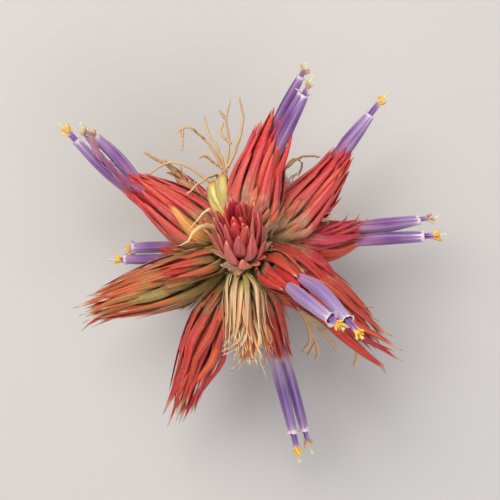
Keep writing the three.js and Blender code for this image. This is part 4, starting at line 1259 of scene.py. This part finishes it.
def make_fibre_grain():
    group, given = new_skin("fibre_grain", FIBRE_INPUTS)
    tone = surface_value(group, "tone")
    uv, place = surface_maps(group)
    offset = add_node(group, "ShaderNodeCombineXYZ", {"Z": tone * 53.0}).outputs[0]
    grain = noise(stretched(uv, (12.0, 5.0, 1.0), offset), 1.0, 4.0)
    patch = noise(place, given["Patch Scale"], 3.0)
    fine = noise(place, 2400.0, 2.0)
    limit = 0.78 - given["Dark Share"] * 0.5
    aged = ramp_between(patch * 0.7 + grain * 0.3, limit, limit + 0.12)
    colour = mix_colour(aged, given["Pale"], given["Dark"])
    colour = shade_colour(colour, grain * 0.4 + fine * 0.26 + 0.66)
    return hand_out(group, colour, fine * 0.22 + 0.68, grain * 0.6 + fine * 0.4)


FIBRE_GRAIN = make_fibre_grain()
ROOT_FIBRE = skin_material("root_fibre", FIBRE_GRAIN, ((222, 188, 142), (150, 104, 64), 0.44), bump=0.5)
OLD_STEM = skin_material("old_stem", FIBRE_GRAIN, ((168, 146, 96), (84, 62, 40), 0.62),
                         bump=0.7, depth=0.0005)
DRY_LEAF = skin_material("dry_leaf", FIBRE_GRAIN, ((240, 214, 152), (206, 160, 84), 0.4, 300.0), bump=0.4)
DRY_STALK = skin_material("dry_stalk", FIBRE_GRAIN, ((204, 168, 122), (124, 88, 58), 0.5), bump=0.6)
print("fibre grain nodes:", len(FIBRE_GRAIN.nodes))

# %% [markdown]
# ## Roots
# An air plant only uses its roots to hold on, so they are bare wires that fork and turn where they
# like. Each runs on its CAD path with a small wander of its own, and its thickness changes on the way.

# %% Roots
ROOT_BUNCHES = {
    "roots_top": [
        [(-1.6, 5.4, -0.8), (-5.2, 17, -2.5), (-6.7, 27.5, -4), (-5.7, 39.3, -4), (-6.7, 46.6, -3),
         (-5, 53.2, -2)],
        [(-6.7, 46, -3.2), (-9, 49.2, -2)],
        [(-6.2, 30, -4), (-3.2, 37, -6), (-1, 46.2, -6), (-2.4, 54.2, -5)],
        [(-6.7, 28, -4), (-10.1, 37.7, -5), (-12.5, 41.1, -6), (-14.2, 48.1, -8)],
        [(-6.4, 26.5, -4), (-11.1, 35.9, -3), (-15.4, 40.8, -2), (-18.7, 43.1, -1), (-21, 43, 0),
         (-23.2, 40.8, 2)],
        [(-21.2, 42.8, 0), (-21.3, 35.3, 0)],
        [(-6.6, 29, -4), (-11.4, 32.1, -2), (-13.7, 33.7, 0), (-15.6, 32.9, 2)],
        [(-5, 38, -4), (-8.6, 42, -4.5), (-7.4, 45.4, -6)],
    ],
    "roots_left": [
        [(-2.6, 4.8, 0.8), (-8.5, 17, -2), (-10.7, 23.5, -3), (-14.4, 26.8, -3), (-18.8, 29.8, -3),
         (-23.8, 31.8, -3), (-27.8, 30.8, -3), (-33.8, 26.8, -2)],
        [(-10.2, 22.5, -3), (-9.6, 27.2, 1), (-15.5, 24.1, 8), (-19.3, 20.3, 12)],
    ],
    "roots_right": [
        [(3, 4.6, -2), (8.6, 18, -6.5), (12.1, 29, -7), (16.5, 33, -5), (18.8, 31.6, -5), (17.6, 27.3, -7)],
        [(12, 28.6, -7), (17.3, 33.2, -8.4), (20.3, 34.2, -8.6), (25.4, 33.9, -9)],
    ],
    "roots_lower": [
        [(4, -2.8, -3.9), (13, -13, -13), (20, -20, -17.4), (21.8, -30.3, -20), (19, -33, -20)],
        [(19, -19, -17), (25, -32.5, -22), (24, -37, -22)],
        [(24, -30.2, -21.4), (21.6, -34.6, -23)],
        [(17, -17, -15.6), (29.9, -30, -22), (32, -33.5, -22)],
        [(18, -18, -16), (31, -27, -18.6), (38.3, -32.9, -18), (37.2, -38.4, -18)],
    ],
    "roots_back": [
        [(-1.6, 1.8, -5.4), (-9, 11, -22), (-12, 20, -30), (-8, 27, -33), (-2, 25, -36)],
        [(-8.6, 10.4, -21), (-17, 9, -31), (-24, 3, -34), (-25, -4, -31)],
        [(-11.6, 18.6, -29), (-19, 25, -28), (-26, 24, -22)],
    ],
}
ROOT_RADIUS = 0.55
STOUT_ROOTS = 1.25
WANDER_PACE = 0.9
ROOT_WANDER = 0.09


def wandering(line, seed, amount):
    """The line with a small repeatable wander that is nothing at its start."""
    steps = np.arange(len(line)) * WANDER_PACE
    grows = np.minimum(np.arange(len(line)) / 4, 1)[:, None]
    wander = [np.sin(steps * (1 + 0.2 * axis) + 7 * draw(seed, axis))
              + 0.6 * np.sin(steps * 2.3 + 9 * draw(seed, axis + 4)) for axis in range(3)]
    return line + np.stack(wander, axis=1) * amount * grows


seed = 0
for name, paths in ROOT_BUNCHES.items():
    laid = []
    for path in paths:
        seed += 1
        line = wandering(smooth_line(path, STRAND_RINGS), seed, ROOT_WANDER)
        share = np.linspace(0, 1, STRAND_RINGS)
        steps = np.arange(STRAND_RINGS)
        knobs = 1 + 0.08 * np.sin(steps * 1.7 + seed) + 0.07 * np.sin(share * 40 + 2 * seed)
        width = 2 * ROOT_RADIUS * (1.05 - 0.45 * share) * knobs
        if name == "roots_lower":
            width = 2 * ROOT_RADIUS * STOUT_ROOTS * (1 - 0.15 * share) * knobs
        side, lift = cross_directions(unit(line[-1] - line[0]))
        laid.append(lay_pattern(STRAND, line, side, width, tone=draw(seed, 8)))
    add_piece(f"strands_{name}", laid, ROOT_FIBRE, "root", name)
print("roots:", seed)

# %% [markdown]
# ## The knot of old stems
# All the rosettes stand on a short lump of stems, which still wears the papery husks of dead leaves. A
# ball with its corners moved makes the lump. The husks are the leaf blade again, short, broad and dry:
# each lies on the lump at its start, leans one way and lifts its tip a little.

# %% Knot of stems
KNOT_RADIUS = 7.2
BUMPS = 14
BUMP_REACH = 2.4
HUSKS = 130
HUSK_START = 6.3
HUSK_WIDTH = 3.8


def spiral_direction(i, count):
    """Direction i of so many that are spread evenly over a ball."""
    height, turn = 1 - 2 * (i + 0.5) / count, i * GOLDEN_ANGLE
    flat = math.sqrt(1 - height ** 2)
    return np.array([flat * math.cos(turn), flat * math.sin(turn), height])


def model_knot():
    deselect_all()
    bpy.ops.mesh.primitive_ico_sphere_add(subdivisions=4, radius=KNOT_RADIUS)
    lump = bpy.context.object
    bpy.ops.object.mode_set(mode="EDIT")
    for bump in range(BUMPS):
        place = spiral_direction(bump, BUMPS) * KNOT_RADIUS
        pick_vertices(lump, lambda co: np.linalg.norm(np.array(co) - place) < BUMP_REACH)
        bpy.ops.transform.resize(value=(0.93,) * 3 if bump % 2 else (1.05,) * 3, center_override=(0, 0, 0))
    bpy.ops.mesh.select_all(action="SELECT")
    bpy.ops.mesh.vertices_smooth(factor=0.5, repeat=3)
    bpy.ops.object.mode_set(mode="OBJECT")
    return lump


KNOT_PLACES, KNOT_FACES = take_shape(model_knot())
lump = {"corners": KNOT_PLACES, "faces": KNOT_FACES, "chart": KNOT_PLACES[:, :2] / KNOT_RADIUS / 2 + 0.5,
        "tone": 0.4}
add_piece("knot_of_stems", [lump], OLD_STEM, "stem", "stem_base")
laid = []
blade_share = np.linspace(0, 1, LEAF_RINGS)[:, None]
for k in range(HUSKS):
    out = spiral_direction(k, HUSKS)
    lean = unit(np.cross(out, [draw(k, 60) - 0.5, draw(k, 61) - 0.5, 0.3]))
    rise = HUSK_START + (2.2 + 2.4 * draw(k, 62)) * blade_share ** 1.4
    line = out * rise + lean * (3.4 + 3 * draw(k, 63)) * blade_share
    laid.append(lay_pattern(BLADE, line, out, HUSK_WIDTH, twist=draw(k, 64) - 0.5, tone=draw(k, 65)))
add_piece("knot_husks", laid, LEAF_MATERIALS["husk"], "leaf_straw")
print("husks:", len(laid))

# %% [markdown]
# ## Leaves on their own
# A few leaves belong to no rosette. Two have dried and curled, a broad one has turned amber, and two
# young ones are still yellow green and blunt, so their width grows where the blade would get thin.

# %% Single leaves
LEAF_FACING = unit(np.array([-0.3, 0.2, 1.0]))
BLUNT = np.array([1, 1, 1, 1.02, 1.08, 1.18, 1.32, 1.55, 1.9, 2.4, 2.4])


def lay_single(path, width, twist, tone):
    return lay_pattern(BLADE, smooth_line(path, LEAF_RINGS), LEAF_FACING, width, twist=twist, tone=tone)


add_piece("curled_leaf_1", [
    lay_single([(-3.2, 2.8, 4.4), (-11, 10, 13.5), (-16, 9, 18), (-19, 4.6, 17), (-23.6, 3.4, 14)],
               2.1, 1.6, 0.3),
], DRY_LEAF, "leaf_straw", "dry_leaf_1")
add_piece("curled_leaf_2", [
    lay_single([(-2.8, 3.6, 4), (-10, 14.5, 13), (-12.4, 15.6, 16.5), (-16, 11.5, 18), (-19.9, 7.5, 16)],
               2.2, -1.4, 0.7),
], DRY_LEAF, "leaf_straw", "dry_leaf_2")
add_piece("unfolding_leaf", [
    lay_single([(-0.8, 4.4, 3.6), (-5.6, 15.6, 9.6), (-8.2, 22, 10.5), (-7.6, 28.2, 8.4)],
               6.2 * BLUNT, 0.2, 0.4),
    lay_single([(-1.4, 4.2, 3.2), (-6.8, 14.6, 8.6), (-10, 20, 9.2), (-10.8, 25.6, 6.4)],
               6.6 * BLUNT, -0.3, 0.8),
], LEAF_MATERIALS["green"], "leaf_green", "young_leaf")
add_piece("amber_leaf", [
    lay_single([(-11, 5.6, 7.2), (-15.4, 7.4, 10.6), (-19.5, 10.8, 12.4), (-23.4, 15.3, 12),
                (-26.6, 18.2, 10)], 5.0, 0.2, 0.95),
], LEAF_MATERIALS["amber"], "leaf_orange")
print("the young leaves are", round(float(6.2 * BLUNT[-2] * LEAF_OUTLINE[-2]), 1), "mm wide near their tip")

# %% [markdown]
# ## The old flower stalk
# A dry flower stalk stands at the upper left, with its papery bracts and a broken end. It is a strand
# that swells a little at the break, and each bract is a small leaf blade.

# %% Old flower stalk
STALK_PATH = [(-13.6, 17.6, -7.4), (-18.4, 22.4, -6.2), (-25.1, 29.8, -6.4), (-34.8, 35.4, -4.6)]
BRACTS = 8
stalk_line = wandering(smooth_line(STALK_PATH, STRAND_RINGS), 90, 0.12)
stalk_width = np.interp(np.linspace(0, 1, STRAND_RINGS), [0, 0.5, 0.9, 1], [2.0, 1.5, 1.15, 1.3])
side, lift = cross_directions(unit(stalk_line[-1] - stalk_line[0]))
laid = [lay_pattern(STRAND, stalk_line, LEAF_FACING, stalk_width, tone=0.2)]
for k in range(BRACTS):
    start = 1 + 2 * k
    out = turned(side, lift, k * GOLDEN_ANGLE)
    onward = unit(stalk_line[start + 3] - stalk_line[start])
    rise = 0.5 + 2.2 * blade_share ** 1.5
    line = stalk_line[start] + onward * blade_share * (7.5 - 0.5 * k) + out * rise
    laid.append(lay_pattern(BLADE, line, out, 3.6 - 0.25 * k, twist=1.6 * (draw(k, 71) - 0.5),
                            tone=draw(k, 70)))
add_piece("old_stalk", laid, DRY_STALK, "dry", "dry_stalk")
print("bracts on the stalk:", BRACTS)

# %% [markdown]
# ## Loose fibres
# Curled shreds of old leaves hang in the clefts between the rosettes. They hold on to the leaves on both
# sides, and they are the thinnest thing on the plant.

# %% Loose fibres
FIBRE_CLUSTERS = [((25.4, 12.0, -2.0), (1.0, 0.55, 0.1), 11), ((22.0, 16.0, -4.0), (0.9, 0.2, 0.2), 8),
                  ((-14.0, 18.0, 1.0), (-0.7, 0.7, 0.2), 10), ((-9.0, 20.0, -2.0), (-0.5, 0.9, 0.1), 8),
                  ((14.0, 24.0, -4.0), (0.6, 0.9, 0.0), 7), ((-18.0, 9.0, 4.0), (-1.0, 0.2, 0.3), 8)]


def curl_line(start, way, length, seed):
    """A short fibre that leaves along a way and curls over."""
    way = unit(way)
    side, lift = cross_directions(way)
    t = np.linspace(0, 1, STRAND_RINGS)[:, None]
    turn = 3.6 * (draw(seed, 1) - 0.5) * 2
    bend = side * np.cos(6 * draw(seed, 2)) + lift * np.sin(6 * draw(seed, 2))
    tightness = max(abs(turn), 0.3)
    return (start + way * np.sin(t * abs(turn)) / tightness * length
            + bend * (1 - np.cos(t * turn)) / tightness * length)


def scatter(seed, first):
    """Three draws around nothing, one for each axis."""
    return np.array([draw(seed, first + axis) for axis in range(3)]) - 0.5


laid = []
seed = 200
fibre_width = np.linspace(0.34, 0.16, STRAND_RINGS)
for centre, way, count in FIBRE_CLUSTERS:
    for k in range(count):
        seed += 1
        start = np.array(centre) + scatter(seed, 5) * 5
        aside = np.array(way) + scatter(seed, 8) * 1.4
        line = curl_line(start, aside, 3.5 + 4 * draw(seed, 11), seed)
        laid.append(lay_pattern(STRAND, line, aside, fibre_width, tone=draw(seed, 12)))
add_piece("loose_fibres", laid, DRY_LEAF, "dry")
print("loose fibres:", len(laid))

# %% [markdown]
# ## The table under the plant
# A plain pale floor takes the shadow and sends soft light back up between the leaves.

# %% Floor
deselect_all()
bpy.ops.mesh.primitive_plane_add(size=4, location=(0, 0, 0))
floor = bpy.context.object
floor.name = "floor"
paint = bpy.data.materials.new("floor_paint")
paint.use_nodes = True
paint_shader = paint.node_tree.nodes["Principled BSDF"]
paint_shader.inputs["Base Color"].default_value = (0.60, 0.59, 0.575, 1)
paint_shader.inputs["Roughness"].default_value = 0.85
floor.data.materials.append(paint)

# %% [markdown]
# ## Finish
# The colours are shown with the standard view transform.

# %% Finish
bpy.context.scene.view_settings.view_transform = "Standard"
